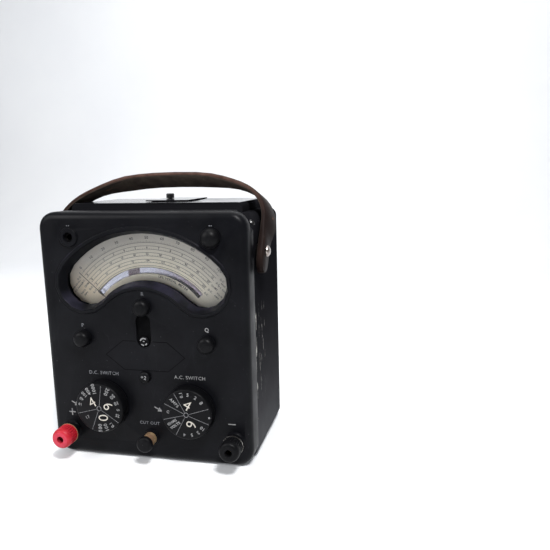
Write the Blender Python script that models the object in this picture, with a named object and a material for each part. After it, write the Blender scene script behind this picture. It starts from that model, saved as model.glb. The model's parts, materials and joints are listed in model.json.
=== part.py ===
"""Portable analog multimeter: moulded panel, case, movement, switches, terminals and strap.

Metres, +Z up, front face towards -Y. The object stands on Z = 0, and Y = 0 is the middle of
the case's depth. Depths are measured from the panel's front face, and grow towards the back.
"""
import math

import bmesh
import bpy
from mathutils import Matrix, Vector

MM = 0.001
GAP = 0.3 * MM

# Enclosure
WIDTH, HEIGHT, DEPTH = 0.180, 0.211, 0.117
FRONT = -DEPTH / 2
PANEL_CORNER = 0.014
PANEL_EDGE = 0.006
PANEL_DEPTH = 0.020
PLATE = 4.5 * MM
SKIRT = 4.0 * MM
CASE_WALL = 3.5 * MM
CASE_INSET = 0.5 * MM
SHOULDER = 0.2078
CASE_BACK_EDGE = 0.007
BLOCK_HALF, BLOCK_FRONT, BLOCK_TOP = 0.0776, 0.035, 0.2162
CASE_CORNER = 0.008
HATCH_FRONT_LEFT, HATCH_BACK_RIGHT, CELL_FLOOR = (-0.0130, 0.058), (0.0200, 0.101), 0.156
LID_TOP, LID_SCREW = 0.2175, (-0.0070, 0.0880)
POCKET_CENTRE, POCKET_SIDE, POCKET_RISE = (0.076, 0.197), (0.779, 0.627), 0.2
POCKET_FRONT, POCKET_BACK, POCKET_FLOOR = 0.0115, 0.046, 0.0079
CORNER_SCREW = (0.0875, 0.0265)

# Scale window: a band round the movement's pivot, with round ends
PIVOT = (0.0, 0.1025)
BAND_RADIUS, BAND_HALF, BAND_ANGLE = 0.071, 0.0192, math.radians(46)
BEZEL_DEPTH, BEZEL_SPREAD, LIP_HALF, LIP_PROUD = 0.0080, 0.0038, 0.0260, 0.0010

# Controls and terminals, as (x, z) on the panel
DIALS = {"dc": (-0.0385, 0.0482), "ac": (0.0385, 0.0482)}
DIAL_RADIUS, DIAL_PROUD = 0.0215, 0.0120
TRIMMERS = {"p": (-0.0541, 0.1054), "q": (0.0549, 0.1048), "r": (0.001, 0.1337)}
TRIMMER_RADIUS, TRIMMER_PROUD = 0.0070, 0.0085
TERMINALS = {"positive": (-0.0716, 0.0216), "negative": (0.0757, 0.0226)}
HEAD_RADIUS, HEAD_PROUD, HEAD_LENGTH = 0.0087, 0.0210, 0.0135
SOCKET, CAP_NUT = (-0.0612, 0.1905), (0.0612, 0.1905)
DIVIDE = (-0.0005, 0.0741)
CUTOUT, CUTOUT_PROUD = (0.0020, 0.0208), 0.0170
ZERO_SCREW, ZERO_PIN_RADIUS = (0.0, 0.1044), 0.0025
ZERO_POCKET_MIDDLE, ZERO_POCKET_STRAIGHT = 0.1136, 0.0079

# Strap
STUD_DEPTH, STUD_Z = 0.033, 0.1762
STRAP_LEAN = math.radians(31)
STRAP_WIDTH, STRAP_THICK, STRAP_END_THICK = 0.022, 0.0038, 0.0054
STRAP_SPAN, STRAP_RISE, STRAP_TAIL = 0.0962, 0.0703, 0.0185
STRAP_BULGE = {-1: 0.0023, 1: 0.0038}
STRAP_SIDE_POWER, STRAP_TOP_POWER = 2.49, 3.41
STRAP_SKEW, STRAP_SKEW_POWER = 0.0096, 2.8
STRAP_TWIST = {-1: 0.0034, 1: 0.0024}

# Movement, behind the window
SCALE_DEPTH = 0.0160
POLE_DEPTH = (0.022, 0.042)
CORE_RADIUS, COIL_HALF, POLE_RADIUS = 0.0085, 0.0105, 0.0125
POINTER_REST = math.radians(-48)


def clear_scene():
    for obj in list(bpy.data.objects):
        bpy.data.objects.remove(obj, do_unlink=True)


def make_material(name, colour, roughness, metallic=0.0):
    material = bpy.data.materials.new(name)
    material.use_nodes = True
    shader = material.node_tree.nodes["Principled BSDF"]
    shader.inputs["Base Color"].default_value = (*colour, 1.0)
    shader.inputs["Roughness"].default_value = roughness
    shader.inputs["Metallic"].default_value = metallic
    return material


clear_scene()
BLACK = make_material("black_moulding", (0.018, 0.019, 0.022), 0.38)
CASE = make_material("case_black", (0.022, 0.022, 0.024), 0.5)
RED = make_material("red_moulding", (0.52, 0.02, 0.03), 0.4)
GLASS = make_material("window_glass", (0.9, 0.92, 0.9), 0.05)
CREAM = make_material("scale_cream", (0.78, 0.74, 0.62), 0.6)
MIRROR = make_material("mirror_strip", (0.85, 0.87, 0.9), 0.08, 1.0)
BRASS = make_material("brass", (0.63, 0.46, 0.22), 0.3, 1.0)
NICKEL = make_material("nickel", (0.62, 0.60, 0.56), 0.28, 1.0)
STEEL = make_material("spring_steel", (0.35, 0.35, 0.36), 0.35, 1.0)
MAGNET = make_material("magnet_steel", (0.16, 0.17, 0.19), 0.5, 0.8)
IRON = make_material("soft_iron", (0.30, 0.30, 0.31), 0.4, 0.9)
COPPER = make_material("copper_wire", (0.55, 0.22, 0.10), 0.35, 1.0)
BOARD = make_material("laminate_board", (0.20, 0.09, 0.035), 0.55)
CARD = make_material("battery_card", (0.45, 0.40, 0.30), 0.7)
LEATHER = make_material("brown_leather", (0.075, 0.032, 0.018), 0.55)


def finish_object(name, bm, material, location=(0, 0, 0), rotation=(0, 0, 0), flat=False):
    """Turn a bmesh into a named object with its faces pointing out."""
    bmesh.ops.recalc_face_normals(bm, faces=bm.faces)
    if bm.calc_volume(signed=True) < 0:
        bmesh.ops.reverse_faces(bm, faces=bm.faces)
    mesh = bpy.data.meshes.new(name)
    bm.to_mesh(mesh)
    bm.free()
    mesh.materials.append(material)
    if not flat:
        mesh.shade_smooth()
        mesh.set_sharp_from_angle(angle=math.radians(35))
    obj = bpy.data.objects.new(name, mesh)
    bpy.context.collection.objects.link(obj)
    obj.location = location
    obj.rotation_euler = rotation
    return obj


def helper(obj):
    """A cutter, or a shape joined to another: not a part of its own."""
    obj.hide_render = True
    obj.display_type = "WIRE"
    return obj


def combine(obj, operation, *others):
    for other in others:
        modifier = obj.modifiers.new(other.name, "BOOLEAN")
        modifier.operation = operation
        modifier.solver = "EXACT"
        modifier.object = helper(other)
    return obj


def loft(name, loops, material, location=(0, 0, 0), rotation=(0, 0, 0), ring=False):
    """A solid through loops of equal length. A ring joins its last loop to its first."""
    bm = bmesh.new()
    rows = [[bm.verts.new(point) for point in loop] for loop in loops]
    count = len(rows[0])
    pairs = list(zip(rows, rows[1:]))
    if ring:
        pairs.append((rows[-1], rows[0]))
    for near, far in pairs:
        for i in range(count):
            j = (i + 1) % count
            bm.faces.new((near[i], near[j], far[j], far[i]))
    if not ring:
        bm.faces.new(rows[0])
        bm.faces.new(list(reversed(rows[-1])))
    return finish_object(name, bm, material, location, rotation)


def at_depth(outline, depth):
    return [(x, depth, z) for x, z in outline]


def slab(name, outline, front, back, material, centre=(0.0, 0.0), edge=0.0):
    """An outline in X and Z, extruded from one depth to another. The front edge may be eased."""
    loops = [at_depth(outline, front), at_depth(outline, back)]
    if edge:
        middle = Vector((sum(x for x, _ in outline), sum(z for _, z in outline))) / len(outline)
        eased = [tuple(middle + (Vector(p) - middle) * (1 - edge / (Vector(p) - middle).length))
                 for p in outline]
        loops = [at_depth(eased, front), at_depth(outline, front + edge), at_depth(outline, back)]
    return loft(name, loops, material, (centre[0], FRONT, centre[1]))


def turned(name, centre, profile, material, steps=32, axis="Y", location=None, flutes=None):
    """Revolve (radius, depth) points about the panel's normal, or about X.

    A profile with both ends at radius 0 is a solid, any other is closed round a bore.
    flutes is (count, depth cut, first point, last point).
    """
    bm = bmesh.new()
    rows = []
    for index, (radius, depth) in enumerate(profile):
        if radius == 0:
            rows.append([bm.verts.new((0, depth, 0))])
            continue
        row = []
        for i in range(steps):
            angle = 2 * math.pi * i / steps
            r = radius
            if flutes and flutes[2] <= index <= flutes[3]:
                r -= flutes[1] * (0.5 - 0.5 * math.cos(flutes[0] * angle))
            row.append(bm.verts.new((r * math.cos(angle), depth, r * math.sin(angle))))
        rows.append(row)
    pairs = list(zip(rows, rows[1:]))
    if profile[0][0] > 0 and profile[-1][0] > 0:
        pairs.append((rows[-1], rows[0]))
    for near, far in pairs:
        for i in range(steps):
            j = (i + 1) % steps
            if len(near) == 1:
                bm.faces.new((near[0], far[j], far[i]))
            elif len(far) == 1:
                bm.faces.new((near[i], near[j], far[0]))
            else:
                bm.faces.new((near[i], near[j], far[j], far[i]))
    if axis == "X":
        bmesh.ops.transform(bm, matrix=Matrix.Rotation(-math.pi / 2, 4, "Z"), verts=bm.verts)
    if axis == "Z":
        bmesh.ops.transform(bm, matrix=Matrix.Rotation(math.pi / 2, 4, "X"), verts=bm.verts)
    place = location or (centre[0], FRONT, centre[1])
    return finish_object(name, bm, material, place)


def box(name, low, high, material, depth_box=True):
    """A box from (x, depth, z) to (x, depth, z)."""
    shift = FRONT if depth_box else 0.0
    outline = [(low[0], low[2]), (high[0], low[2]), (high[0], high[2]), (low[0], high[2])]
    return loft(name, [at_depth(outline, low[1]), at_depth(outline, high[1])], material, (0, shift, 0))


def bore(name, centre, radius, front, back, steps=20):
    return turned(name, centre, [(0, front), (radius, front), (radius, back), (0, back)], BLACK, steps)


def rounded_rectangle(low_x, high_x, low_z, high_z, radius, steps=6):
    """Outline, anticlockwise seen from the front, starting at the lower right corner."""
    corners = [(high_x - radius, low_z + radius, -90), (high_x - radius, high_z - radius, 0),
               (low_x + radius, high_z - radius, 90), (low_x + radius, low_z + radius, 180)]
    points = []
    for x, z, start in corners:
        for i in range(steps + 1):
            angle = math.radians(start + 90 * i / steps)
            points.append((x + radius * math.cos(angle), z + radius * math.sin(angle)))
    return points


def band(half, angle=BAND_ANGLE, radius=BAND_RADIUS, arc_steps=16, end_steps=7):
    """Outline of the window band: two arcs about the pivot, joined by round ends."""
    points = []

    def arc(centre_x, centre_z, r, start, end, steps):
        for i in range(steps):
            a = start + (end - start) * i / steps
            points.append((centre_x + r * math.sin(a), centre_z + r * math.cos(a)))

    px, pz = PIVOT
    end_x, end_z = radius * math.sin(angle), radius * math.cos(angle)
    arc(px, pz, radius + half, -angle, angle, arc_steps)
    arc(px + end_x, pz + end_z, half, angle, angle + math.pi, end_steps)
    arc(px, pz, radius - half, angle, -angle, arc_steps)
    arc(px - end_x, pz + end_z, half, -angle + math.pi, -angle + 2 * math.pi, end_steps)
    return points


def ring_slab(name, outer, inner, front, back, material):
    """A flat ring between two outlines that have the same number of points."""
    loops = [at_depth(outer, front), at_depth(outer, back), at_depth(inner, back), at_depth(inner, front)]
    return loft(name, loops, material, (0, FRONT, 0), ring=True)


def corner_pocket(name, side):
    """Cuts the flat at a top corner, behind the panel's rim, where a fixing screw goes in."""
    across, up = Vector(POCKET_SIDE), Vector((-POCKET_SIDE[1], POCKET_SIDE[0]))
    loops = []
    for depth in (POCKET_FRONT, POCKET_BACK):
        floor = POCKET_FLOOR + POCKET_RISE * (depth - POCKET_FRONT)
        reach = 0.025
        around = ((floor, -reach), (floor + reach, -reach), (floor + reach, reach), (floor, reach))
        corners = [Vector(POCKET_CENTRE) + across * out + up * along for out, along in around]
        loops.append([(side * corner.x, depth, corner.y) for corner in corners])
    return loft(name, loops, BLACK, (0, FRONT, 0))


def corner_screw_frame(side):
    """Matrix whose +Y axis points out of a corner flat, at the screw's place."""
    across = Vector(POCKET_SIDE)
    x, depth = CORNER_SCREW
    floor = POCKET_FLOOR + POCKET_RISE * (depth - POCKET_FRONT) + across.dot(Vector(POCKET_CENTRE))
    place = Vector((side * x, depth + FRONT, (floor - across.x * x) / across.y))
    normal = Vector((side * across.x, -POCKET_RISE, across.y)).normalized()
    return Matrix.Translation(place) @ normal.to_track_quat("Y", "Z").to_matrix().to_4x4()


# ---------------------------------------------------------------- enclosure

def build_front_panel():
    def outline(inset):
        return rounded_rectangle(-WIDTH / 2 + inset, WIDTH / 2 - inset, inset, HEIGHT - inset,
                                 max(PANEL_CORNER - inset, 1.5 * MM))

    loops = []
    for i in range(5):
        angle = math.radians(90 * i / 4)
        inset = PANEL_EDGE * (1 - math.sin(angle))
        loops.append(at_depth(outline(inset), PANEL_EDGE * (1 - math.cos(angle))))
    loops.append(at_depth(outline(0), PANEL_DEPTH))
    inner = rounded_rectangle(-WIDTH / 2 + SKIRT, WIDTH / 2 - SKIRT, SKIRT, HEIGHT - SKIRT, 0.020)
    loops.append(at_depth(inner, PANEL_DEPTH))
    loops.append(at_depth(inner, PLATE))
    panel = loft("front_panel", loops, BLACK, (0, FRONT, 0))

    lip = [(LIP_HALF, 0.004), (LIP_HALF, -0.2 * MM), (LIP_HALF - 0.8 * MM, -LIP_PROUD)]
    collar_loops = [at_depth(band(half), depth) for half, depth in reversed(lip)]
    collar_loops += [at_depth(band(BAND_HALF + 4.0 * MM), depth) for depth in (0.0042, BEZEL_DEPTH)]
    collar = loft("window_collar", collar_loops, BLACK, (0, FRONT, 0))
    unions = [collar]
    for x, z in (SOCKET, *TERMINALS.values()):
        unions.append(turned("moulded_ring", (x, z), [(0, -1.6 * MM), (7.4 * MM, -1.6 * MM),
                             (8.4 * MM, -0.4 * MM), (8.4 * MM, 2 * MM), (0, 2 * MM)], BLACK, 24))
    unions.append(bore("cutout_boss", CUTOUT, 6.7 * MM, -3.0 * MM, 2 * MM, 24))
    for side in (-1, 1):
        unions.append(bore("scale_boss", (side * 0.031, 0.1135), 3.2 * MM, 4.0 * MM, SCALE_DEPTH - GAP, 12))
    combine(panel, "UNION", *unions)

    steps = [(BEZEL_SPREAD + 0.3 * MM, -2.0 * MM), (BEZEL_SPREAD, -LIP_PROUD),
             (BEZEL_SPREAD - 0.6 * MM, 0.0), (0.0, BEZEL_DEPTH + 0.5 * MM)]
    window = loft("window_cutter", [at_depth(band(BAND_HALF + grow), depth) for grow, depth in steps],
                  BLACK, (0, FRONT, 0))
    outline = [(6.4 * MM * x, 6.4 * MM * z + rise) for x, z, rise in stadium(ZERO_POCKET_STRAIGHT)]
    pocket = slab("adjuster_pocket", outline, -3 * MM, 1.2 * MM, BLACK, (0.0, ZERO_POCKET_MIDDLE))
    cutters = [window, pocket]
    holes = [(ZERO_SCREW, 3.4 * MM), (DIVIDE, 4.9 * MM), (CUTOUT, 5.7 * MM), (SOCKET, 4.2 * MM),
             (CAP_NUT, 2.9 * MM)]
    holes += [(place, 3.4 * MM) for place in DIALS.values()]
    holes += [(place, 2.9 * MM) for place in TRIMMERS.values()]
    holes += [(place, 4.4 * MM) for place in TERMINALS.values()]
    for place, radius in holes:
        cutters.append(bore("panel_hole", place, radius, -4 * MM, PLATE + 3 * MM))
    pockets = [corner_pocket("panel_pocket", side) for side in (-1, 1)]
    combine(panel, "DIFFERENCE", *cutters, *pockets)
    return panel


def stadium(half_straight, steps=8):
    """Points of a unit-width stadium as (x, z, rise), where rise is added after scaling."""
    points = []
    for start, rise in ((0, half_straight), (180, -half_straight)):
        for i in range(steps + 1):
            angle = math.radians(start + 180 * i / steps)
            points.append((math.cos(angle), math.sin(angle), rise))
    return points


def build_rear_case():
    front, half = PANEL_DEPTH + GAP, WIDTH / 2 - CASE_INSET

    def shell(inset, top_inset):
        return rounded_rectangle(-half + inset, half - inset, inset, SHOULDER - top_inset,
                                 max(CASE_CORNER - inset, 2 * MM))

    loops = [at_depth(shell(0, 0), front)]
    for i in range(5):
        angle = math.radians(90 * i / 4)
        inset = CASE_BACK_EDGE * (1 - math.cos(angle))
        loops.append(at_depth(shell(inset, inset), DEPTH - CASE_BACK_EDGE * (1 - math.sin(angle))))
    case = loft("rear_case", loops, CASE, (0, FRONT, 0))

    block = []
    for inset, depth in ((0.0, BLOCK_FRONT), (0.0, DEPTH - 4 * MM), (3.0 * MM, DEPTH - 1.0 * MM)):
        block.append(at_depth(rounded_rectangle(-BLOCK_HALF + inset, BLOCK_HALF - inset, 0.180,
                                                BLOCK_TOP - inset, 4.0 * MM, 4), depth))
    raised = loft("case_block", block, CASE, (0, FRONT, 0))
    combine(case, "UNION", raised)

    room = rounded_rectangle(-half + CASE_WALL, half - CASE_WALL, CASE_WALL, SHOULDER - CASE_WALL, 0.020)
    cavity = slab("case_cavity", room, front - 2 * MM, DEPTH - 2 * CASE_WALL, CASE)
    head_room = box("block_cavity", (-BLOCK_HALF + 3.2 * MM, BLOCK_FRONT + 3.2 * MM, 0.190),
                    (BLOCK_HALF - 3.2 * MM, DEPTH - 2 * CASE_WALL, BLOCK_TOP - 3.0 * MM), CASE)
    combine(case, "DIFFERENCE", cavity, head_room)
    (left, near), (right, far), low = HATCH_FRONT_LEFT, HATCH_BACK_RIGHT, CELL_FLOOR
    cell_box = box("battery_box", (left - 3 * MM, near - 3 * MM, low - 3 * MM),
                   (right + 3 * MM, DEPTH - 3 * MM, BLOCK_TOP - 2 * MM), CASE)
    combine(case, "UNION", cell_box)
    hatch = box("battery_hatch", (left, near, low), (right, far, BLOCK_TOP + 5 * MM), CASE)
    through = [(0, -8 * MM), (3.4 * MM, -8 * MM), (3.4 * MM, 8 * MM), (0, 8 * MM)]
    studs = [turned("stud_hole", None, through, CASE, 20, "X",
                    (side * half, FRONT + STUD_DEPTH, STUD_Z)) for side in (-1, 1)]
    pockets = [corner_pocket("case_pocket", side) for side in (-1, 1)]
    for side in (-1, 1):
        narrow = [(0, -5.2 * MM), (1.9 * MM, -5.2 * MM), (1.9 * MM, 3 * MM), (0, 3 * MM)]
        hole = turned("screw_hole", None, narrow, CASE, 12, "Y", (0, 0, 0))
        hole.matrix_world = corner_screw_frame(side)
        pockets.append(hole)
    combine(case, "DIFFERENCE", hatch, *studs, *pockets)
    return case


def build_corner_screws():
    profile = [(0, 1.3 * MM), (2.0 * MM, 1.3 * MM), (2.8 * MM, 0.5 * MM), (2.8 * MM, GAP), (1.5 * MM, GAP),
               (1.5 * MM, -4.6 * MM), (0, -4.6 * MM)]
    for side, name in ((-1, "corner_screw_left"), (1, "corner_screw_right")):
        screw = turned(name, None, profile, NICKEL, 16, "Y", (0, 0, 0))
        screw.matrix_world = corner_screw_frame(side)
        low, high = (-4 * MM, 0.8 * MM, -0.4 * MM), (4 * MM, 3 * MM, 0.4 * MM)
        slot = box(f"slot_{name}", low, high, NICKEL, False)
        slot.matrix_world = screw.matrix_world @ Matrix.Rotation(0.6 + side * 0.4, 4, "Y")
        combine(screw, "DIFFERENCE", slot)


def build_battery_lid():
    """A thin flange on the block's top, with a plug that fits the hatch and a captive thumb screw."""
    (left, near), (right, far) = HATCH_FRONT_LEFT, HATCH_BACK_RIGHT
    lap = 3.5 * MM
    lid = box("battery_lid", (left - lap, near - lap, BLOCK_TOP + GAP),
              (right + lap, far + lap, LID_TOP), CASE)
    plug = box("lid_plug", (left + 0.5 * MM, near + 0.5 * MM, BLOCK_TOP - 4 * MM),
               (right - 0.5 * MM, far - 0.5 * MM, BLOCK_TOP + 0.8 * MM), CASE)
    combine(lid, "UNION", plug)
    x, depth = LID_SCREW
    place = (x, FRONT + depth, LID_TOP)
    through = [(0, -0.02), (2.3 * MM, -0.02), (2.3 * MM, 0.02), (0, 0.02)]
    hole = turned("lid_hole", None, through, CASE, 16, "Z", place)
    combine(lid, "DIFFERENCE", hole)
    profile = [(0, -8 * MM), (2.0 * MM, -8 * MM), (2.0 * MM, GAP), (3.7 * MM, GAP), (3.7 * MM, 3.9 * MM),
               (3.1 * MM, 4.6 * MM), (0, 4.6 * MM)]
    turned("lid_screw", None, profile, NICKEL, 28, "Z", place, flutes=(14, 0.4 * MM, 3, 4))


# ---------------------------------------------------------------- window and scale

def build_window():
    glass = band(BAND_HALF + 2.4 * MM)
    loft("window_glass", [at_depth(glass, BEZEL_DEPTH + GAP), at_depth(glass, BEZEL_DEPTH + 2.5 * MM)],
         GLASS, (0, FRONT, 0))
    ring_slab("glass_frame", band(BAND_HALF + 3.6 * MM), band(BAND_HALF + 0.6 * MM),
              BEZEL_DEPTH + 2.5 * MM + GAP, BEZEL_DEPTH + 4.0 * MM, BRASS)


def sector(inner, outer, angle, steps=20):
    """Outline of a plate between two arcs about the pivot."""
    points = []
    for radius, start, end in ((outer, -angle, angle), (inner, angle, -angle)):
        for i in range(steps + 1):
            a = start + (end - start) * i / steps
            points.append((PIVOT[0] + radius * math.sin(a), PIVOT[1] + radius * math.cos(a)))
    return points


def build_scale():
    back = SCALE_DEPTH + 1.2 * MM
    plate = loft("scale_plate", [at_depth(band(0.0252), depth) for depth in (SCALE_DEPTH, back)],
                 CREAM, (0, FRONT, 0))
    feet = [box("scale_foot", (side * 0.031 - 4.5 * MM, SCALE_DEPTH + 0.1 * MM, 0.109),
                (side * 0.031 + 4.5 * MM, back - 0.1 * MM, 0.1462), CREAM) for side in (-1, 1)]
    combine(plate, "UNION", *feet)
    slot = loft("mirror_slot", [at_depth(sector(0.0562, 0.0613, math.radians(50)), depth)
                                for depth in (SCALE_DEPTH - 1 * MM, back + 1 * MM)], CREAM, (0, FRONT, 0))
    combine(plate, "DIFFERENCE", slot)
    loft("scale_mirror", [at_depth(sector(0.0545, 0.0630, math.radians(52)), depth)
                          for depth in (back + GAP, back + 1.3 * MM)], MIRROR, (0, FRONT, 0))


# ---------------------------------------------------------------- movement

def build_movement():
    front, back = POLE_DEPTH
    for side, name in ((-1, "left"), (1, "right")):
        outline = []
        for i in range(13):
            a = math.radians(side * (90 - 50 + 100 * i / 12))
            outline.append((POLE_RADIUS * math.sin(a), POLE_RADIUS * math.cos(a)))
        outline += [(side * 0.0195, -0.0105), (side * 0.0195, 0.0105)]
        slab(f"pole_piece_{name}", outline, front, back, IRON, PIVOT)

    leg_out, leg_in, arch_z = 0.033, 0.0198, 0.030
    outline = [(leg_out, -0.0115)]
    outline += [(leg_out * math.cos(a), arch_z + leg_out * math.sin(a)) for a in angles(0, 180, 16)]
    outline += [(-leg_out, -0.0115), (-leg_in, -0.0115)]
    outline += [(leg_in * math.cos(a), arch_z + leg_in * math.sin(a)) for a in angles(180, 0, 16)]
    outline += [(leg_in, -0.0115)]
    slab("magnet", outline, front + 1 * MM, back - 1 * MM, MAGNET, PIVOT)
    turned("iron_core", PIVOT, [(0, front), (CORE_RADIUS, front), (CORE_RADIUS, back), (0, back)], IRON, 28)

    build_moving_coil(front, back)
    build_pointer()
    build_bridges(front, back)
    spiral("hairspring", 2.4 * MM, 7.6 * MM, 2.5, 11.6 * MM, 12.2 * MM)


def angles(start, end, steps):
    return [math.radians(start + (end - start) * i / steps) for i in range(steps + 1)]


def build_moving_coil(front, back):
    """The wound frame turns about the core. Short spindles stand on its front and back bars."""
    wire = 0.9 * MM
    outer_y, inner_y = (front - 2.2 * MM, back + 2.2 * MM), (front - 1.0 * MM, back + 1.0 * MM)
    loops = []
    for x, (near, far) in ((COIL_HALF, outer_y), (COIL_HALF - wire, inner_y)):
        for z in (-2.0 * MM, 2.0 * MM):
            loops.append([(-x, near, z), (x, near, z), (x, far, z), (-x, far, z)])
    loops = [loops[0], loops[1], loops[3], loops[2]]
    coil = loft("moving_coil", loops, COPPER, (PIVOT[0], FRONT, PIVOT[1]), (0, POINTER_REST, 0), ring=True)
    stems = [bore("front_stem", PIVOT, 0.9 * MM, 11.4 * MM, outer_y[0] + 0.5 * MM, 12),
             bore("back_stem", PIVOT, 0.9 * MM, outer_y[1] - 0.5 * MM, back + 4.6 * MM, 12)]
    combine(coil, "UNION", *stems)


def build_pointer():
    """A knife pointer with its tail and two balance arms, on the coil's front spindle."""
    near, far = 13.2 * MM, 14.0 * MM
    blade = [(-0.5 * MM, 2.0 * MM), (0.5 * MM, 2.0 * MM), (0.22 * MM, 60 * MM), (0.16 * MM, 84 * MM),
             (-0.16 * MM, 84 * MM), (-0.22 * MM, 60 * MM)]
    hub = [(1.2 * MM, near), (3.0 * MM, near), (3.0 * MM, far), (1.2 * MM, far)]
    pointer = turned("pointer", PIVOT, hub, BLACK, 24)
    pointer.rotation_euler = (0, POINTER_REST, 0)
    parts = [slab("blade", blade, near + 0.2 * MM, far - 0.2 * MM, BLACK, PIVOT)]
    for turn in (math.radians(150), math.radians(180), math.radians(210)):
        arm = [(-0.6 * MM, 2.2 * MM), (0.6 * MM, 2.2 * MM), (0.6 * MM, 11.5 * MM), (-0.6 * MM, 11.5 * MM)]
        piece = slab("balance_arm", arm, near + 0.1 * MM, far - 0.1 * MM, BLACK, PIVOT)
        piece.rotation_euler = (0, turn, 0)
        parts.append(piece)
    for piece in parts:
        piece.rotation_euler.y += POINTER_REST
    combine(pointer, "UNION", *parts)


def build_bridges(front, back):
    bar = [(-0.0235, -3.6 * MM), (0.0235, -3.6 * MM), (0.0235, 3.6 * MM), (-0.0235, 3.6 * MM)]
    bridge = slab("front_bridge", bar, 9.0 * MM, 11.0 * MM, BRASS, PIVOT)
    pillars = [bore("pillar", (side * 0.0165, PIVOT[1]), 2.0 * MM, 10.5 * MM, front - GAP, 12)
               for side in (-1, 1)]
    boss = bore("jewel_screw", PIVOT, 2.0 * MM, 6.6 * MM, 9.5 * MM, 16)
    combine(bridge, "UNION", *pillars, boss)
    rear = slab("rear_bridge", bar, back + 5.0 * MM, back + 7.0 * MM, BRASS, PIVOT)
    combine(rear, "UNION", *[bore("rear_pillar", (side * 0.0165, PIVOT[1]), 2.0 * MM, back + GAP,
                                  back + 5.5 * MM, 12) for side in (-1, 1)])


def spiral(name, first, last, turns, near, far, steps=16):
    """A flat spiral strip about the pivot."""
    half = 0.14 * MM
    loops = []
    total = round(turns * steps)
    for i in range(total + 1):
        a = 2 * math.pi * i / steps
        r = first + (last - first) * i / total
        x, z = math.sin(a), math.cos(a)
        loops.append([((r - half) * x, near, (r - half) * z), ((r + half) * x, near, (r + half) * z),
                      ((r + half) * x, far, (r + half) * z), ((r - half) * x, far, (r - half) * z)])
    return loft(name, loops, STEEL, (PIVOT[0], FRONT, PIVOT[1]))


def build_zero_adjuster():
    profile = [(0, -0.6 * MM), (3.4 * MM, -0.6 * MM), (4.1 * MM, 0.0), (4.1 * MM, 1.2 * MM - GAP),
               (3.0 * MM, 1.2 * MM - GAP), (3.0 * MM, PLATE + GAP), (5.6 * MM, PLATE + GAP),
               (5.6 * MM, 6.0 * MM), (0, 6.0 * MM)]
    screw = turned("zero_adjuster", ZERO_SCREW, profile, BLACK, 28)
    x, z = ZERO_SCREW
    pin = bore("zero_pin", (x, z + ZERO_PIN_RADIUS), 0.7 * MM, 5.6 * MM, 8.4 * MM, 10)
    combine(screw, "UNION", pin)
    slot = box("zero_slot", (x - 5 * MM, -2 * MM, z - 0.6 * MM),
               (x + 5 * MM, 0.6 * MM, z + 0.6 * MM), BLACK)
    combine(screw, "DIFFERENCE", slot)

    x, z = PIVOT
    profile = [(2.4 * MM, 7.0 * MM), (6.4 * MM, 7.0 * MM), (6.4 * MM, 7.9 * MM), (2.4 * MM, 7.9 * MM)]
    lever = turned("zero_lever", PIVOT, profile, BRASS, 28)
    arm = box("lever_arm", (x - 1.4 * MM, 7.05 * MM, z + 5.6 * MM),
              (x + 1.4 * MM, 7.85 * MM, z + 10.6 * MM), BRASS)
    post = bore("lever_post", (x, z + 9.2 * MM), 0.6 * MM, 7.4 * MM, 12.3 * MM, 10)
    combine(lever, "UNION", arm, post)
    fork = box("lever_fork", (x - 1.0 * MM, 6 * MM, z + 3.2 * MM),
               (x + 1.0 * MM, 9 * MM, z + 5.6 * MM), BRASS)
    combine(lever, "DIFFERENCE", fork)


# ---------------------------------------------------------------- range switches

def build_range_switch(key, centre):
    r, proud = DIAL_RADIUS, DIAL_PROUD
    dial = [(0, -proud), (r - 1.3 * MM, -proud), (r - 0.3 * MM, -proud + 0.6 * MM),
            (r, -proud + 1.8 * MM), (r, -0.8 * MM), (3.3 * MM, -0.8 * MM),
            (3.3 * MM, -8.6 * MM), (0, -8.6 * MM)]
    turned(f"{key}_range_dial", centre, dial, BLACK, 40)
    shaft = 3.0 * MM
    profile = [(0, -8.2 * MM), (shaft, -8.2 * MM), (shaft, 7.0 * MM), (11.0 * MM, 7.0 * MM),
               (11.0 * MM, 9.4 * MM), (shaft, 9.4 * MM), (shaft, 20.6 * MM), (6.0 * MM, 20.6 * MM),
               (6.0 * MM, 22.6 * MM), (0, 22.6 * MM)]
    spindle = turned(f"{key}_switch_spindle", centre, profile, BRASS, 24, flutes=(12, 1.1 * MM, 3, 4))
    arm = box(f"{key}_wiper_arm", (centre[0] - 2.0 * MM, 20.8 * MM, centre[1] + 4.0 * MM),
              (centre[0] + 2.0 * MM, 21.8 * MM, centre[1] + 21.0 * MM), BRASS)
    combine(spindle, "UNION", arm)
    build_stator(key, centre)


def build_stator(key, centre):
    """A laminate disc with a ring of brass studs behind it, in one piece."""
    profile = [(5.0 * MM, 14.0 * MM), (26.0 * MM, 14.0 * MM), (26.0 * MM, 17.0 * MM), (5.0 * MM, 17.0 * MM)]
    stator = turned(f"{key}_switch_stator", centre, profile, BOARD, 28)
    studs = []
    for i in range(10):
        a = 2 * math.pi * (i + 0.5) / 10
        place = (centre[0] + 18.5 * MM * math.cos(a), centre[1] + 18.5 * MM * math.sin(a))
        studs.append(bore(f"{key}_stud", place, 2.0 * MM, 16.5 * MM, 20.2 * MM, 6))
    return combine(stator, "UNION", *studs)


# ---------------------------------------------------------------- trimmers, buttons, terminals

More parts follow.
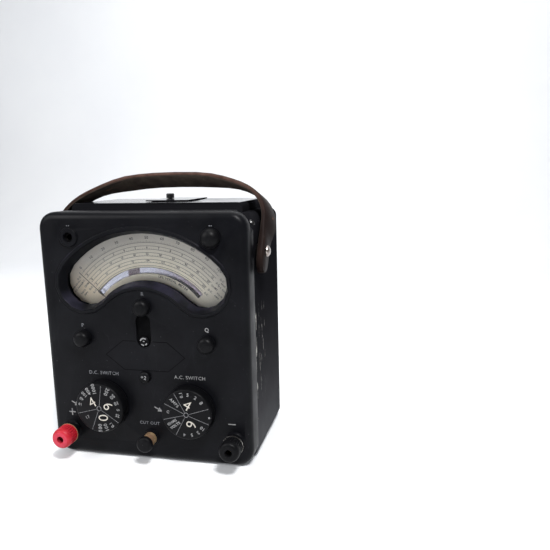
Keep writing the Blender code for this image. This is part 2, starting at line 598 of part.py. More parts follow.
def build_trimmer(key, centre, shaft_end, body_back):
    r, proud = TRIMMER_RADIUS, TRIMMER_PROUD
    knob = [(0, -proud), (r - 3.2 * MM, -proud + 0.2 * MM), (r - 1.5 * MM, -proud + 0.9 * MM),
            (r - 0.4 * MM, -proud + 2.2 * MM), (r, -proud + 3.8 * MM), (r, -0.5 * MM),
            (2.5 * MM, -0.5 * MM), (2.5 * MM, shaft_end), (0, shaft_end)]
    turned(f"{key}_trim_knob", centre, knob, BLACK, 24)
    front = PLATE + GAP
    turned(f"{key}_rheostat", centre, [(2.8 * MM, front), (12.0 * MM, front), (12.0 * MM, body_back),
                                       (2.8 * MM, body_back)], BOARD, 24)


def coil_spring(name, centre, radius, wire, turns, near, far, steps=8, sides=4):
    loops = []
    total = turns * steps
    for i in range(total + 1):
        a = 2 * math.pi * i / steps
        middle = Vector((radius * math.cos(a), near + (far - near) * i / total, radius * math.sin(a)))
        outward = Vector((math.cos(a), 0, math.sin(a)))
        loop = []
        for k in range(sides):
            b = 2 * math.pi * k / sides
            loop.append(tuple(middle + outward * (wire * math.cos(b)) + Vector((0, wire * math.sin(b), 0))))
        loops.append(loop)
    return loft(name, loops, STEEL, (centre[0], FRONT, centre[1]))


def build_divide_button():
    profile = [(0, -3.4 * MM), (3.6 * MM, -3.2 * MM), (4.5 * MM, -2.4 * MM), (4.5 * MM, PLATE - 0.6 * MM),
               (2.0 * MM, PLATE - 0.6 * MM), (2.0 * MM, PLATE + GAP), (5.6 * MM, PLATE + GAP),
               (5.6 * MM, 6.0 * MM), (1.6 * MM, 6.0 * MM), (1.6 * MM, 16 * MM), (0, 16 * MM)]
    turned("divide_button", DIVIDE, profile, BLACK, 24)
    coil_spring("divide_spring", DIVIDE, 3.1 * MM, 0.35 * MM, 5, 6.8 * MM, 30.0 * MM)


def build_cutout_button():
    """A cap on a stem. Its hollow back slides over the bush when it is pushed in."""
    front = -CUTOUT_PROUD
    mouth, hollow = -12.4 * MM, front + 2.2 * MM
    cap = [(0, front), (4.9 * MM, front), (6.1 * MM, front + 0.6 * MM), (6.7 * MM, front + 1.6 * MM),
           (6.7 * MM, mouth), (5.8 * MM, mouth), (5.8 * MM, hollow), (2.6 * MM, hollow),
           (2.6 * MM, 7.6 * MM), (4.2 * MM, 7.6 * MM), (4.2 * MM, 8.6 * MM), (1.8 * MM, 8.6 * MM),
           (1.8 * MM, 29 * MM), (0, 29 * MM)]
    turned("cutout_button", CUTOUT, cap, BLACK, 24)
    bush = [(2.9 * MM, -11.8 * MM), (4.9 * MM, -11.8 * MM), (5.4 * MM, -11.3 * MM), (5.4 * MM, 7.0 * MM),
            (2.9 * MM, 7.0 * MM)]
    turned("cutout_bush", CUTOUT, bush, BRASS, 20)
    coil_spring("cutout_spring", CUTOUT, 3.2 * MM, 0.4 * MM, 4, 9.4 * MM, 20.4 * MM)
    trip = box("cutout_trip_switch", (CUTOUT[0] - 9 * MM, 27 * MM, CUTOUT[1] - 7 * MM),
               (CUTOUT[0] + 9 * MM, 31 * MM, CUTOUT[1] + 7 * MM), BOARD)
    combine(trip, "DIFFERENCE", bore("trip_bore", CUTOUT, 2.2 * MM, 22 * MM, 36 * MM, 16))


def build_terminal(key, centre, material):
    front = -HEAD_PROUD
    back = front + HEAD_LENGTH
    full = HEAD_RADIUS
    plug_hole = front + 6.4 * MM
    head = [(2.3 * MM, back), (2.3 * MM, plug_hole), (2.8 * MM, plug_hole), (2.8 * MM, front),
            (6.2 * MM, front), (full - 0.6 * MM, front + 1.2 * MM), (full, front + 2.8 * MM),
            (full, front + 6.0 * MM), (full, back - 0.8 * MM), (full - 1.2 * MM, back)]
    turned(f"{key}_terminal_head", centre, head, material, 40, flutes=(20, 0.5 * MM, 7, 8))
    washer = [(2.3 * MM, back + GAP), (6.6 * MM, back + GAP), (6.6 * MM, back + 1.5 * MM),
              (2.3 * MM, back + 1.5 * MM)]
    turned(f"{key}_terminal_washer", centre, washer, NICKEL, 20)
    collar = [(2.4 * MM, -5.4 * MM), (6.4 * MM, -5.4 * MM), (7.0 * MM, -4.8 * MM), (7.0 * MM, -1.9 * MM),
              (4.1 * MM, -1.9 * MM), (4.1 * MM, PLATE + 1.2 * MM), (2.4 * MM, PLATE + 1.2 * MM)]
    turned(f"{key}_terminal_collar", centre, collar, BLACK, 20)
    stud = [(0, front + 7.2 * MM), (2.0 * MM, front + 7.2 * MM), (2.0 * MM, PLATE + 2.0 * MM),
            (5.2 * MM, PLATE + 2.0 * MM), (5.2 * MM, PLATE + 5.0 * MM), (2.0 * MM, PLATE + 5.0 * MM),
            (2.0 * MM, 20 * MM), (0, 20 * MM)]
    turned(f"{key}_terminal_stud", centre, stud, BRASS, 12)


def build_high_voltage_terminals():
    """The left one has lost its cap: its socket sleeve shows in the moulded ring."""
    nut_front, nut_back = PLATE + 0.8 * MM, PLATE + 4 * MM
    sleeve = [(2.7 * MM, 2.0 * MM), (3.8 * MM, 2.0 * MM), (3.8 * MM, nut_front), (5.6 * MM, nut_front),
              (5.6 * MM, nut_back), (3.8 * MM, nut_back), (3.8 * MM, 14 * MM), (2.7 * MM, 14 * MM)]
    turned("socket_sleeve", SOCKET, sleeve, BRASS, 16)
    cap = [(0, -8.6 * MM), (3.0 * MM, -8.3 * MM), (5.2 * MM, -7.3 * MM), (6.8 * MM, -5.6 * MM),
           (7.8 * MM, -3.2 * MM), (8.2 * MM, -1.1 * MM), (7.7 * MM, -0.5 * MM), (2.3 * MM, -0.5 * MM),
           (2.3 * MM, -4.5 * MM), (0, -4.5 * MM)]
    turned("cap_nut", CAP_NUT, cap, BLACK, 24)
    stud = [(0, -4.1 * MM), (2.0 * MM, -4.1 * MM), (2.0 * MM, nut_front), (4.6 * MM, nut_front),
            (4.6 * MM, nut_back), (2.0 * MM, nut_back), (2.0 * MM, 14 * MM), (0, 14 * MM)]
    turned("cap_nut_stud", CAP_NUT, stud, BRASS, 12)


# ---------------------------------------------------------------- circuit parts

def build_circuit():
    board = box("resistor_board", (-0.072, 0.036, 0.014), (0.072, 0.0385, 0.084), BOARD)
    bobbins = []
    for row, z in enumerate((0.030, 0.066)):
        for x in (-0.054, -0.018, 0.018, 0.054):
            profile = [(0, 0.038), (6.4 * MM, 0.038), (6.4 * MM, 0.053), (0, 0.053)]
            bobbins.append(turned(f"bobbin_{row}", (x, z), profile, BOARD, 12))
    combine(board, "UNION", *bobbins)

    core = box("transformer", (0.042, 0.030, 0.112), (0.078, 0.052, 0.152), IRON)
    winding = box("winding", (0.036, 0.024, 0.120), (0.084, 0.058, 0.144), COPPER)
    combine(core, "UNION", winding)

    fins = [(0, -9 * MM)]
    for i in range(5):
        start = -9 * MM + 3.1 * MM * i
        fins += [(7.0 * MM, start), (7.0 * MM, start + 1.4 * MM), (2.6 * MM, start + 1.4 * MM),
                 (2.6 * MM, start + 3.1 * MM)]
    fins[-1] = (0, fins[-1][1])
    turned("rectifier", None, fins, COPPER, 12, "X", (-0.060, FRONT + 0.044, 0.130))

    cell = [(0, 0.0), (12.8 * MM, 0.0), (12.8 * MM, 46 * MM), (2.8 * MM, 46 * MM), (2.8 * MM, 48 * MM),
            (0, 48 * MM)]
    middle = (Vector(HATCH_FRONT_LEFT) + Vector(HATCH_BACK_RIGHT)) / 2
    turned("battery_cell", None, cell, CARD, 24, "Z", (middle.x, FRONT + middle.y, CELL_FLOOR + GAP))


# ---------------------------------------------------------------- strap

def smooth_step(value, start, end):
    share = min(max((value - start) / (end - start), 0.0), 1.0)
    return share * share * (3 - 2 * share)


def strap_outer_line(steps=36):
    """(x, z) along the strap's outer side, in its own plane. Its peak sits a little to the right.

    It is narrowest at the studs, and stands out above them.
    """
    points = [(-STRAP_SPAN, -STRAP_TAIL * f) for f in (1.0, 0.93, 0.8, 0.62, 0.36, 0.12)]
    for i in range(steps + 1):
        u = 2 * i / steps - 1
        a = math.pi / 2 * (1 - math.copysign(1 - (1 - abs(u)) ** 1.6, u))
        across, up = math.cos(a), max(math.sin(a), 0.0)
        rise = abs(up) ** (2 / STRAP_TOP_POWER)
        side = math.copysign(abs(across) ** (2 / STRAP_SIDE_POWER), across)
        height = rise * STRAP_RISE
        bulge = STRAP_BULGE[-1 if across < 0 else 1] * smooth_step(height, 0.005, 0.030)
        x = side * (STRAP_SPAN + bulge) + STRAP_SKEW * rise ** STRAP_SKEW_POWER
        points.append((x, height))
    points += [(STRAP_SPAN, -STRAP_TAIL * f) for f in (0.12, 0.36, 0.62, 0.8, 0.93, 1.0)]
    return [Vector(point) for point in points]


def build_strap():
    """One leather band between the studs, thicker at its doubled ends, leaning back on the case.

    Its back edge stands out further than its front edge at both shoulders, where it passes the case.
    """
    points = strap_outer_line()
    loops = []
    for i, point in enumerate(points):
        ahead, behind = points[min(i + 1, len(points) - 1)], points[max(i - 1, 0)]
        along = (ahead - behind).normalized()
        out = Vector((-along.y, along.x))
        thick = STRAP_END_THICK - (STRAP_END_THICK - STRAP_THICK) * smooth_step(point.y, 0.006, 0.022)
        middle = point + out * ((thick - STRAP_THICK) * 0.85 - thick / 2)
        side = -1 if point.x < 0 else 1
        shoulder = smooth_step(abs(point.x) / STRAP_SPAN, 0.35, 0.75) * smooth_step(point.y, 0.006, 0.026)
        twist = STRAP_TWIST[side] * shoulder
        below = min(max(-point.y - (STRAP_TAIL - STRAP_WIDTH / 2), 0.0) / (STRAP_WIDTH / 2), 0.97)
        half_w = STRAP_WIDTH / 2 * math.sqrt(1 - below ** 2)
        ease = min(0.9 * MM, half_w * 0.4)
        loop = []
        for w, t in ((-half_w, -1), (-half_w, 1), (half_w, 1), (half_w, -1)):
            sign = 1 if w > 0 else -1
            base = middle + out * twist * sign
            corner = base + out * (thick / 2 * t)
            eased = base + out * ((thick / 2 - 0.9 * MM) * t)
            pair = [(corner.x, w - sign * ease, corner.y), (eased.x, w, eased.y)]
            loop += pair if sign * t > 0 else pair[::-1]
        loops.append(loop)
    strap = loft("carrying_strap", loops, LEATHER, (0, FRONT + STUD_DEPTH, STUD_Z), (-STRAP_LEAN, 0, 0))
    through = [(0, -8 * MM), (2.9 * MM, -8 * MM), (2.9 * MM, 8 * MM), (0, 8 * MM)]
    holes = [turned("strap_hole", None, through, LEATHER, 20, "X",
                    (side * STRAP_SPAN, FRONT + STUD_DEPTH, STUD_Z)) for side in (-1, 1)]
    combine(strap, "DIFFERENCE", *holes)


def build_strap_studs():
    """Each stud is screwed through the case wall. Its shoulder holds the strap off the wall."""
    head = STRAP_SPAN + (STRAP_END_THICK - STRAP_THICK) * 0.85 + GAP
    shoulder = STRAP_SPAN - STRAP_THICK - (STRAP_END_THICK - STRAP_THICK) * 0.15 - GAP
    wall = WIDTH / 2 - CASE_INSET
    nut = wall - CASE_WALL
    profile = [(0, head + 3.0 * MM), (2.6 * MM, head + 2.7 * MM), (4.4 * MM, head + 1.5 * MM),
               (4.7 * MM, head + 0.4 * MM), (4.4 * MM, head), (2.6 * MM, head), (2.6 * MM, shoulder),
               (6.0 * MM, shoulder), (6.0 * MM, wall + GAP), (2.6 * MM, wall + GAP), (2.6 * MM, nut - GAP),
               (5.5 * MM, nut - GAP), (5.5 * MM, nut - 2 * MM), (0, nut - 2 * MM)]
    for side, name in ((-1, "left"), (1, "right")):
        turned(f"strap_stud_{name}", None, [(r, side * d) for r, d in profile], NICKEL, 16, "X",
               (0, FRONT + STUD_DEPTH, STUD_Z))


build_front_panel()
build_rear_case()
build_corner_screws()
build_battery_lid()
build_window()
build_scale()
build_movement()
build_zero_adjuster()
for switch, spot in DIALS.items():
    build_range_switch(switch, spot)
for trimmer, spot in TRIMMERS.items():
    build_trimmer(trimmer, spot, 11.8 * MM, 11.4 * MM)
build_divide_button()
build_cutout_button()
build_terminal("positive", TERMINALS["positive"], RED)
build_terminal("negative", TERMINALS["negative"], BLACK)
build_high_voltage_terminals()
build_circuit()
build_strap()
build_strap_studs()
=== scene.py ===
"""Studio picture of the portable analog multimeter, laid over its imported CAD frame.

Metres, +Z up. The panel faces -Y. Depths grow from the panel's front face towards the back.
"""
import json
import math

import bmesh
import bpy
from mathutils import Matrix, Vector


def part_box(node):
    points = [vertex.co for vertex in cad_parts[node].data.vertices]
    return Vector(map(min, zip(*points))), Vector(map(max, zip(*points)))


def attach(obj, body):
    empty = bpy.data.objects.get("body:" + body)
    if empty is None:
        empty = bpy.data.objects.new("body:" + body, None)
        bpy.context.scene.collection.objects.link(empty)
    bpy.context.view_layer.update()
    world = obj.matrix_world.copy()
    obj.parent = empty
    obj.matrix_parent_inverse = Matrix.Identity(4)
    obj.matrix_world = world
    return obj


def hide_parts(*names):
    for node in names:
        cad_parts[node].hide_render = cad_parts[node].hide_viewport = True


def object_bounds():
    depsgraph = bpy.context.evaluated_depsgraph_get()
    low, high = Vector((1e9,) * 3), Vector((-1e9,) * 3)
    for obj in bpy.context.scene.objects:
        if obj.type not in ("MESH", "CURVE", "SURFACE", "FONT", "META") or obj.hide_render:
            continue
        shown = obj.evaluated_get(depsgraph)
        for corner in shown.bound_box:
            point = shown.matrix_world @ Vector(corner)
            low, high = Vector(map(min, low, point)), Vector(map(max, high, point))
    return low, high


MM = 0.001
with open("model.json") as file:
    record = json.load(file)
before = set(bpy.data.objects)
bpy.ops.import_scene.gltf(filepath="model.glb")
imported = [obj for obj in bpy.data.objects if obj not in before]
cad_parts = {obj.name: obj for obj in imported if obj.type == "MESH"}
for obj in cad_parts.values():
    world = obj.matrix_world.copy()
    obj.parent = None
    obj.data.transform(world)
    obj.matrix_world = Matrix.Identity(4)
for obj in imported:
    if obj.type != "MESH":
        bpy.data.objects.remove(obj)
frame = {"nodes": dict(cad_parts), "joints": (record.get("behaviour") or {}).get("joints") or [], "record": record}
cad_low, cad_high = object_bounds()
JOINT = {joint["name"]: joint for joint in frame["joints"]}
BODIES = frame["record"]["behaviour"]["bodies"]
BODY_OF = {node: body for body, nodes in BODIES.items() for node in nodes}
SLOT_OF = {row["node"]: row["material_slot"] for row in frame["record"]["subparts"]}
PIVOT = Vector(JOINT["needle_swing"]["pos_m"])
FRONT = PIVOT.y
CASE = "case"
PANEL_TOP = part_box("front_panel")[1].z


# ---------------------------------------------------------------- camera

CAMERA_PLACE = (0.2054, -0.4799, 0.2398)
CAMERA_YAW, CAMERA_PITCH, CAMERA_ROLL = 12.54, 10.17, -1.15
LENS_MM, SENSOR_MM, NEAREST_SEEN = 37.56, 36, 0.02


def make_camera():
    """Slightly to the right and above, with a small roll."""
    yaw, pitch, roll = (math.radians(angle) for angle in (CAMERA_YAW, CAMERA_PITCH, CAMERA_ROLL))
    ahead = Vector((-math.sin(yaw) * math.cos(pitch), math.cos(yaw) * math.cos(pitch), -math.sin(pitch)))
    right = Vector((math.cos(yaw), math.sin(yaw), 0))
    up = right.cross(ahead)
    across = math.cos(roll) * right + math.sin(roll) * up
    above = -math.sin(roll) * right + math.cos(roll) * up
    camera = bpy.data.objects.new("camera", bpy.data.cameras.new("camera"))
    camera.data.lens = LENS_MM
    camera.data.sensor_width = SENSOR_MM
    camera.data.clip_start = NEAREST_SEEN
    turn = Matrix((across, above, -ahead)).transposed().to_4x4()
    camera.matrix_world = Matrix.Translation(CAMERA_PLACE) @ turn
    bpy.context.scene.collection.objects.link(camera)
    bpy.context.scene.camera = camera


# ---------------------------------------------------------------- materials

# Up to this distance across, the studs are darkened with painted shade: the shoulder between the strap and the
# case.
STUD_SHADE_UP_TO = cad_high.x - 4.2 * MM
# A painted reflection: the darker patch on the mirror, from one x to another
MIRROR_REFLECTION_PATCH = (-0.0185, -0.0085)
# Where light is painted on the walls of the window's recess: depths behind the panel's front, and heights
RECESS_DEPTHS, RECESS_HEIGHTS = (-0.9 * MM, 8.2 * MM), (0.128, 0.186)


class Finish:
    """A Principled material whose sockets take procedural nodes in the object's own space."""

    def __init__(self, name, **plain):
        self.material = bpy.data.materials.new(name)
        self.material.use_nodes = True
        self.tree = self.material.node_tree
        self.shader = self.tree.nodes["Principled BSDF"]
        for socket, value in plain.items():
            self.shader.inputs[socket.replace("_", " ")].default_value = value
        self.coordinates = self.tree.nodes.new("ShaderNodeTexCoord")
        self.place = self.coordinates.outputs["Object"]

    def add(self, kind, inputs, output=0, **settings):
        made = self.tree.nodes.new("ShaderNode" + kind)
        for key, value in settings.items():
            setattr(made, key, value)
        for key, value in inputs.items():
            if isinstance(value, bpy.types.NodeSocket):
                self.tree.links.new(value, made.inputs[key])
            else:
                made.inputs[key].default_value = value
        return made.outputs[output]

    def maths(self, operation, first, second=0.0, clamp=False):
        return self.add("Math", {0: first, 1: second}, operation=operation, use_clamp=clamp)

    def ramp(self, value, low, high, start=0.0, end=1.0):
        inputs = {"Value": value, "From Min": low, "From Max": high, "To Min": start, "To Max": end}
        return self.add("MapRange", inputs)

    def placed(self, stretch, shift):
        """The object's own coordinates, stretched and shifted."""
        location = (shift, shift, shift)
        return self.add("Mapping", {"Vector": self.place, "Scale": stretch, "Location": location})

    def cloud(self, scale, low=0.4, high=0.6, stretch=(1, 1, 1), detail=5.0, shift=0.0):
        """Noise with this many patches a metre, as a value between 0 and 1."""
        place = self.placed(stretch, shift)
        noise = self.add("TexNoise", {"Vector": place, "Scale": scale, "Detail": detail, "Roughness": 0.6})
        return self.ramp(noise, low, high)

    def hairlines(self, scale, stretch, width, shift=0.0):
        """Thin broken lines, as scratches."""
        place = self.placed(stretch, shift)
        noise = self.add("TexNoise", {"Vector": place, "Scale": scale, "Detail": 1.0})
        lines = self.ramp(self.maths("ABSOLUTE", self.maths("SUBTRACT", noise, 0.5)), 0.0, width, 1.0, 0.0)
        return self.maths("MULTIPLY", lines, self.cloud(scale * 0.5, 0.5, 0.62, shift=shift + 3))

    def along(self, axis):
        return self.add("SeparateXYZ", {"Vector": self.place}, output="XYZ".index(axis))

    def between(self, axis, low, high, soft):
        """1 between two places along an axis, fading out over soft."""
        value = self.along(axis)
        rise = self.ramp(value, low - soft, low)
        fall = self.ramp(value, high, high + soft, 1.0, 0.0)
        return self.maths("MULTIPLY", rise, fall)

    def facing(self, direction, low, high):
        normal = self.coordinates.outputs["Normal"]
        dot = self.add("VectorMath", {0: normal, 1: direction}, output=1, operation="DOT_PRODUCT")
        return self.ramp(dot, low, high)

    def mix(self, factor, first, second):
        values = {0: factor}
        for index, colour in ((6, first), (7, second)):
            values[index] = colour if isinstance(colour, bpy.types.NodeSocket) else (*colour, 1.0)
        return self.add("Mix", values, output=2, data_type="RGBA")

    def put(self, socket, source):
        self.tree.links.new(source, self.shader.inputs[socket])
        return self

    def bump(self, height, distance, strength=1.0):
        normal = self.add("Bump", {"Height": height, "Distance": distance, "Strength": strength})
        return self.put("Normal", normal)


def moulding(name, dark, light, rough=(0.30, 0.46), pale_share=0.2, shine=0.08, painted_recess_light=False):
    """Phenolic moulding: faint mottling, polish marks, specks of dust. Optionally, patches of painted light on the
    upward-facing walls of the window recess.
    """
    f = Finish(name, Specular_IOR_Level=shine)
    mottled = f.mix(f.cloud(22, 0.35, 0.65), dark, light)
    specks = f.maths("MULTIPLY", f.cloud(420, 0.73, 0.79, detail=2.0), pale_share)
    dusted = f.mix(specks, mottled, (0.16, 0.16, 0.17))
    marks = f.maths("MULTIPLY", f.hairlines(70, (1, 1, 0.25), 0.006), 0.04)
    layered = f.mix(marks, dusted, (0.10, 0.10, 0.11))
    if painted_recess_light:
        # Painted light: the lower walls of the window recess that face up are painted a paler purple-grey in
        # patches, as if lamplight falls on them.
        recess = f.between("Y", FRONT + RECESS_DEPTHS[0], FRONT + RECESS_DEPTHS[1], 0.2 * MM)
        recess = f.maths("MULTIPLY", recess, f.facing((0, -0.2, 1), 0.35, 0.75))
        recess = f.maths("MULTIPLY", recess, f.between("Z", *RECESS_HEIGHTS, 3 * MM))
        recess = f.maths("MULTIPLY", recess, f.cloud(36, 0.42, 0.6, shift=8))
        layered = f.mix(f.maths("MULTIPLY", recess, 0.9), layered, (0.018, 0.017, 0.028))
    f.put("Base Color", layered)
    f.put("Roughness", f.ramp(f.cloud(45, 0.3, 0.7, shift=7), 0, 1, *rough))
    return f.bump(f.cloud(900, 0.2, 0.8, detail=2.0), 0.05 * MM, 0.35)


def case_paint():
    """Satin black that turns paler in patches towards the bottom, with a sheen on top and scuffs by the panel
    joint.
    """
    f = Finish("case_satin_black", Specular_IOR_Level=0.0, Coat_Roughness=0.12, Coat_IOR=2.0)
    upward = f.facing((0, 0, 1), 0.9, 0.97)
    above_panel = f.ramp(f.along("Z"), PANEL_TOP + 1 * MM, PANEL_TOP + 3 * MM)
    f.put("Coat Weight", f.maths("MULTIPLY", upward, above_panel))
    # Paler towards the bottom, in patches.
    low_down = f.maths("POWER", f.ramp(f.along("Z"), 0.15, 0.0), 1.8)
    patchy = f.ramp(f.cloud(16, 0.3, 0.72), 0, 1, 0.6, 1.0)
    pale_share = f.maths("MULTIPLY", patchy, low_down)
    base = f.mix(pale_share, (0.0085, 0.0085, 0.0100), (0.095, 0.095, 0.100))
    joint = f.between("Y", FRONT + 19.5 * MM, FRONT + 24 * MM, 1.5 * MM)
    height = f.between("Z", 0.035, 0.125, 10 * MM)
    chips = f.maths("MULTIPLY", f.cloud(220, 0.56, 0.59, stretch=(1, 2.2, 0.4)), joint)
    chips = f.maths("MULTIPLY", chips, height)
    further = f.between("Y", FRONT + 34 * MM, FRONT + 52 * MM, 4 * MM)
    layered = f.maths("MULTIPLY", f.cloud(190, 0.6, 0.64, stretch=(1, 1.6, 0.35), shift=5), further)
    layered = f.maths("MULTIPLY", layered, f.between("Z", 0.06, 0.12, 15 * MM))
    worn = f.maths("MAXIMUM", chips, f.maths("MULTIPLY", layered, 0.5))
    f.put("Base Color", f.mix(worn, base, (0.42, 0.41, 0.38)))
    f.put("Roughness", f.ramp(f.cloud(60, 0.3, 0.7), 0, 1, 0.42, 0.62))
    return f.bump(f.cloud(1100, 0.2, 0.8, detail=2.0), 0.08 * MM, 0.5)


def leather():
    """Old strap leather: a polished outside, a grey flesh side, paler cut edges, and painted shade that darkens
    the lower arms.
    """
    f = Finish("strap_leather", Specular_IOR_Level=0.02)
    swing = JOINT["strap_swing"]["pos_m"]
    centre = f.add("VectorMath", {0: f.place, 1: (0.0, 0.018, swing[2] + 0.005)}, operation="SUBTRACT")
    outward = f.add("VectorMath", {0: centre}, operation="NORMALIZE")
    normal = f.coordinates.outputs["Normal"]
    side = f.add("VectorMath", {0: normal, 1: outward}, output=1, operation="DOT_PRODUCT")
    outside = f.ramp(side, -0.1, 0.1)
    worn = f.cloud(48, 0.52, 0.7)
    polished = f.mix(worn, (0.024, 0.013, 0.010), (0.052, 0.028, 0.019))
    flesh = f.mix(f.cloud(90, 0.35, 0.65, shift=4), (0.060, 0.048, 0.040), (0.105, 0.084, 0.070))
    body = f.mix(outside, flesh, polished)
    edge = f.facing((0, -0.857, 0.515), 0.6, 0.92)
    edge = f.maths("MULTIPLY", edge, f.cloud(120, 0.3, 0.6, shift=9))
    # Painted shade: lower down, the cut edges pale less and the arms darken to near-black.
    high = f.ramp(f.along("Z"), 0.205, 0.235, 0.12, 0.75)
    body = f.mix(f.maths("MULTIPLY", edge, high), body, (0.095, 0.056, 0.046))
    shade = f.ramp(f.along("Z"), 0.205, 0.24, 0.78, 0.0)
    body = f.mix(shade, body, (0.008, 0.006, 0.006))
    bare = f.maths("MULTIPLY", f.cloud(60, 0.66, 0.72, shift=12), 0.8)
    f.put("Base Color", f.mix(bare, body, (0.24, 0.10, 0.045)))
    f.put("Roughness", f.ramp(outside, 0, 1, 0.78, 0.42))
    cells = f.add("TexVoronoi", {"Vector": f.place, "Scale": 900.0})
    creases = f.cloud(160, 0.3, 0.7, stretch=(1, 0.4, 1), shift=2)
    return f.bump(f.maths("ADD", cells, creases), 0.12 * MM, 0.5)


def metal(name, bright, dull, rough=(0.2, 0.42), share=1.0):
    """Tarnished metal. share says how far it shines as bare metal."""
    f = Finish(name, Metallic=share)
    patch = 140
    f.put("Base Color", f.mix(f.cloud(patch, 0.42, 0.66), bright, dull))
    f.put("Roughness", f.ramp(f.cloud(patch * 2, 0.3, 0.7, shift=3), 0, 1, *rough))
    return f.bump(f.cloud(1800, 0.2, 0.8, detail=2.0), 0.03 * MM, 0.5)


def stud_metal():
    """Nickel heads. The shoulder behind the strap is darkened with painted shade, where it sits between the strap
    and the case.
    """
    f = Finish("strap_stud_nickel", Metallic=1.0)
    x = f.maths("ABSOLUTE", f.along("X"))
    outer = f.ramp(x, STUD_SHADE_UP_TO, STUD_SHADE_UP_TO + 0.3 * MM)
    bright = f.mix(f.cloud(150, 0.42, 0.66), (0.46, 0.43, 0.41), (0.26, 0.21, 0.18))
    # Painted shade: near-black on the shoulder behind the strap.
    f.put("Base Color", f.mix(outer, (0.018, 0.017, 0.017), bright))
    f.put("Roughness", f.ramp(f.cloud(300, 0.3, 0.7, shift=3), 0, 1, 0.24, 0.42))
    return f.bump(f.cloud(1500, 0.2, 0.8), 0.03 * MM, 0.5)


def mirror_silver():
    """Painted reflections in the mirror's colour: pale surroundings on the left, greyer ones to the right, and a
    darker patch.
    """
    f = Finish("scale_mirror_silver", Metallic=1.0)
    # Painted reflections: pale lavender on the left, mauve-grey to the right, and a darker patch.
    greyer_reflection = f.ramp(f.along("X"), 0.000, 0.034)
    base = f.mix(greyer_reflection, (0.38, 0.39, 0.47), (0.16, 0.135, 0.17))
    patch = f.between("X", MIRROR_REFLECTION_PATCH[0], MIRROR_REFLECTION_PATCH[1], 0.6 * MM)
    f.put("Base Color", f.mix(f.maths("MULTIPLY", patch, 0.85), base, (0.070, 0.045, 0.052)))
    f.put("Roughness", f.ramp(f.cloud(200, 0.3, 0.7), 0, 1, 0.10, 0.2))
    return f.bump(f.cloud(900, 0.2, 0.8), 0.02 * MM, 0.3)


def red_moulding():
    """Red moulding, paler on its front face, with painted shade dark inside the plug hole."""
    f = Finish("terminal_red", Specular_IOR_Level=0.22)
    worn = f.maths("MULTIPLY", f.cloud(330, 0.55, 0.66), 0.55)
    base = f.mix(f.cloud(80, 0.35, 0.65), (0.34, 0.006, 0.014), (0.44, 0.020, 0.034))
    body = f.mix(worn, base, (0.50, 0.07, 0.10))
    axis = JOINT["positive_head_turn"]["pos_m"]
    flat = f.add("VectorMath", {0: f.place, 1: (1, 0, 1)}, operation="MULTIPLY")
    reach = f.add("VectorMath", {0: flat, 1: (axis[0], 0, axis[2])}, output=1, operation="DISTANCE")
    # Painted shade: the moulding darkens inside the plug hole.
    hole_shade = f.ramp(reach, 2.6 * MM, 3.0 * MM, 0.95, 0.0)
    face = f.maths("MULTIPLY", f.facing((0, -1, 0), 0.9, 0.98), 0.5)
    body = f.mix(face, body, (0.52, 0.05, 0.09))
    f.put("Base Color", f.mix(hole_shade, body, (0.03, 0.003, 0.004)))
    f.put("Roughness", f.ramp(f.cloud(160, 0.3, 0.7, shift=6), 0, 1, 0.34, 0.52))
    return f.bump(f.cloud(900, 0.2, 0.8), 0.06 * MM, 0.5)


def scale_card():
    """Printed card, greyer towards its outer edge and right end, and warmer at the lower left."""
    f = Finish("scale_card", Specular_IOR_Level=0.3)
    warm = f.maths("MULTIPLY", f.ramp(f.along("X"), 0.0, -0.06), f.ramp(f.along("Z"), 0.17, 0.145))
    flat = f.add("VectorMath", {0: f.place, 1: (1, 0, 1)}, operation="MULTIPLY")
    reach = f.add("VectorMath", {0: flat, 1: (PIVOT.x, 0, PIVOT.z)}, output=1, operation="DISTANCE")
    outer = f.maths("MAXIMUM", f.ramp(reach, 0.060, 0.086), f.ramp(f.along("X"), 0.035, 0.075, 0.0, 0.8))
    base = f.mix(outer, (1.0, 0.94, 0.80), (0.62, 0.59, 0.55))
    aged = f.mix(f.maths("MULTIPLY", warm, 0.8), base, (0.90, 0.75, 0.56))
    stains = f.maths("MULTIPLY", f.cloud(70, 0.5, 0.75), 0.25)
    f.put("Base Color", f.mix(stains, aged, (0.50, 0.46, 0.36)))
    f.put("Roughness", f.ramp(f.cloud(120, 0.3, 0.7), 0, 1, 0.5, 0.7))
    return f.bump(f.cloud(2500, 0.2, 0.8, detail=2.0), 0.02 * MM, 0.4)


def paint(name, colour, faded, wear=(0.5, 0.75)):
    """Filled lettering and printing, thin in places."""
    f = Finish(name, Specular_IOR_Level=0.3)
    f.put("Base Color", f.mix(f.cloud(380, *wear, detail=3.0), colour, faded))
    f.put("Roughness", f.ramp(f.cloud(500, 0.3, 0.7), 0, 1, 0.5, 0.75))
    return f


def plain(name, dark, light, rough, shine=0.4):
    """One colour with faint patches."""
    f = Finish(name, Specular_IOR_Level=shine)
    patch = 200
    f.put("Base Color", f.mix(f.cloud(patch, 0.35, 0.65), dark, light))
    f.put("Roughness", f.ramp(f.cloud(patch * 1.7, 0.3, 0.7, shift=5), 0, 1, *rough))
    return f.bump(f.cloud(patch * 6, 0.2, 0.8, detail=2.0), 0.05 * MM, 0.5)


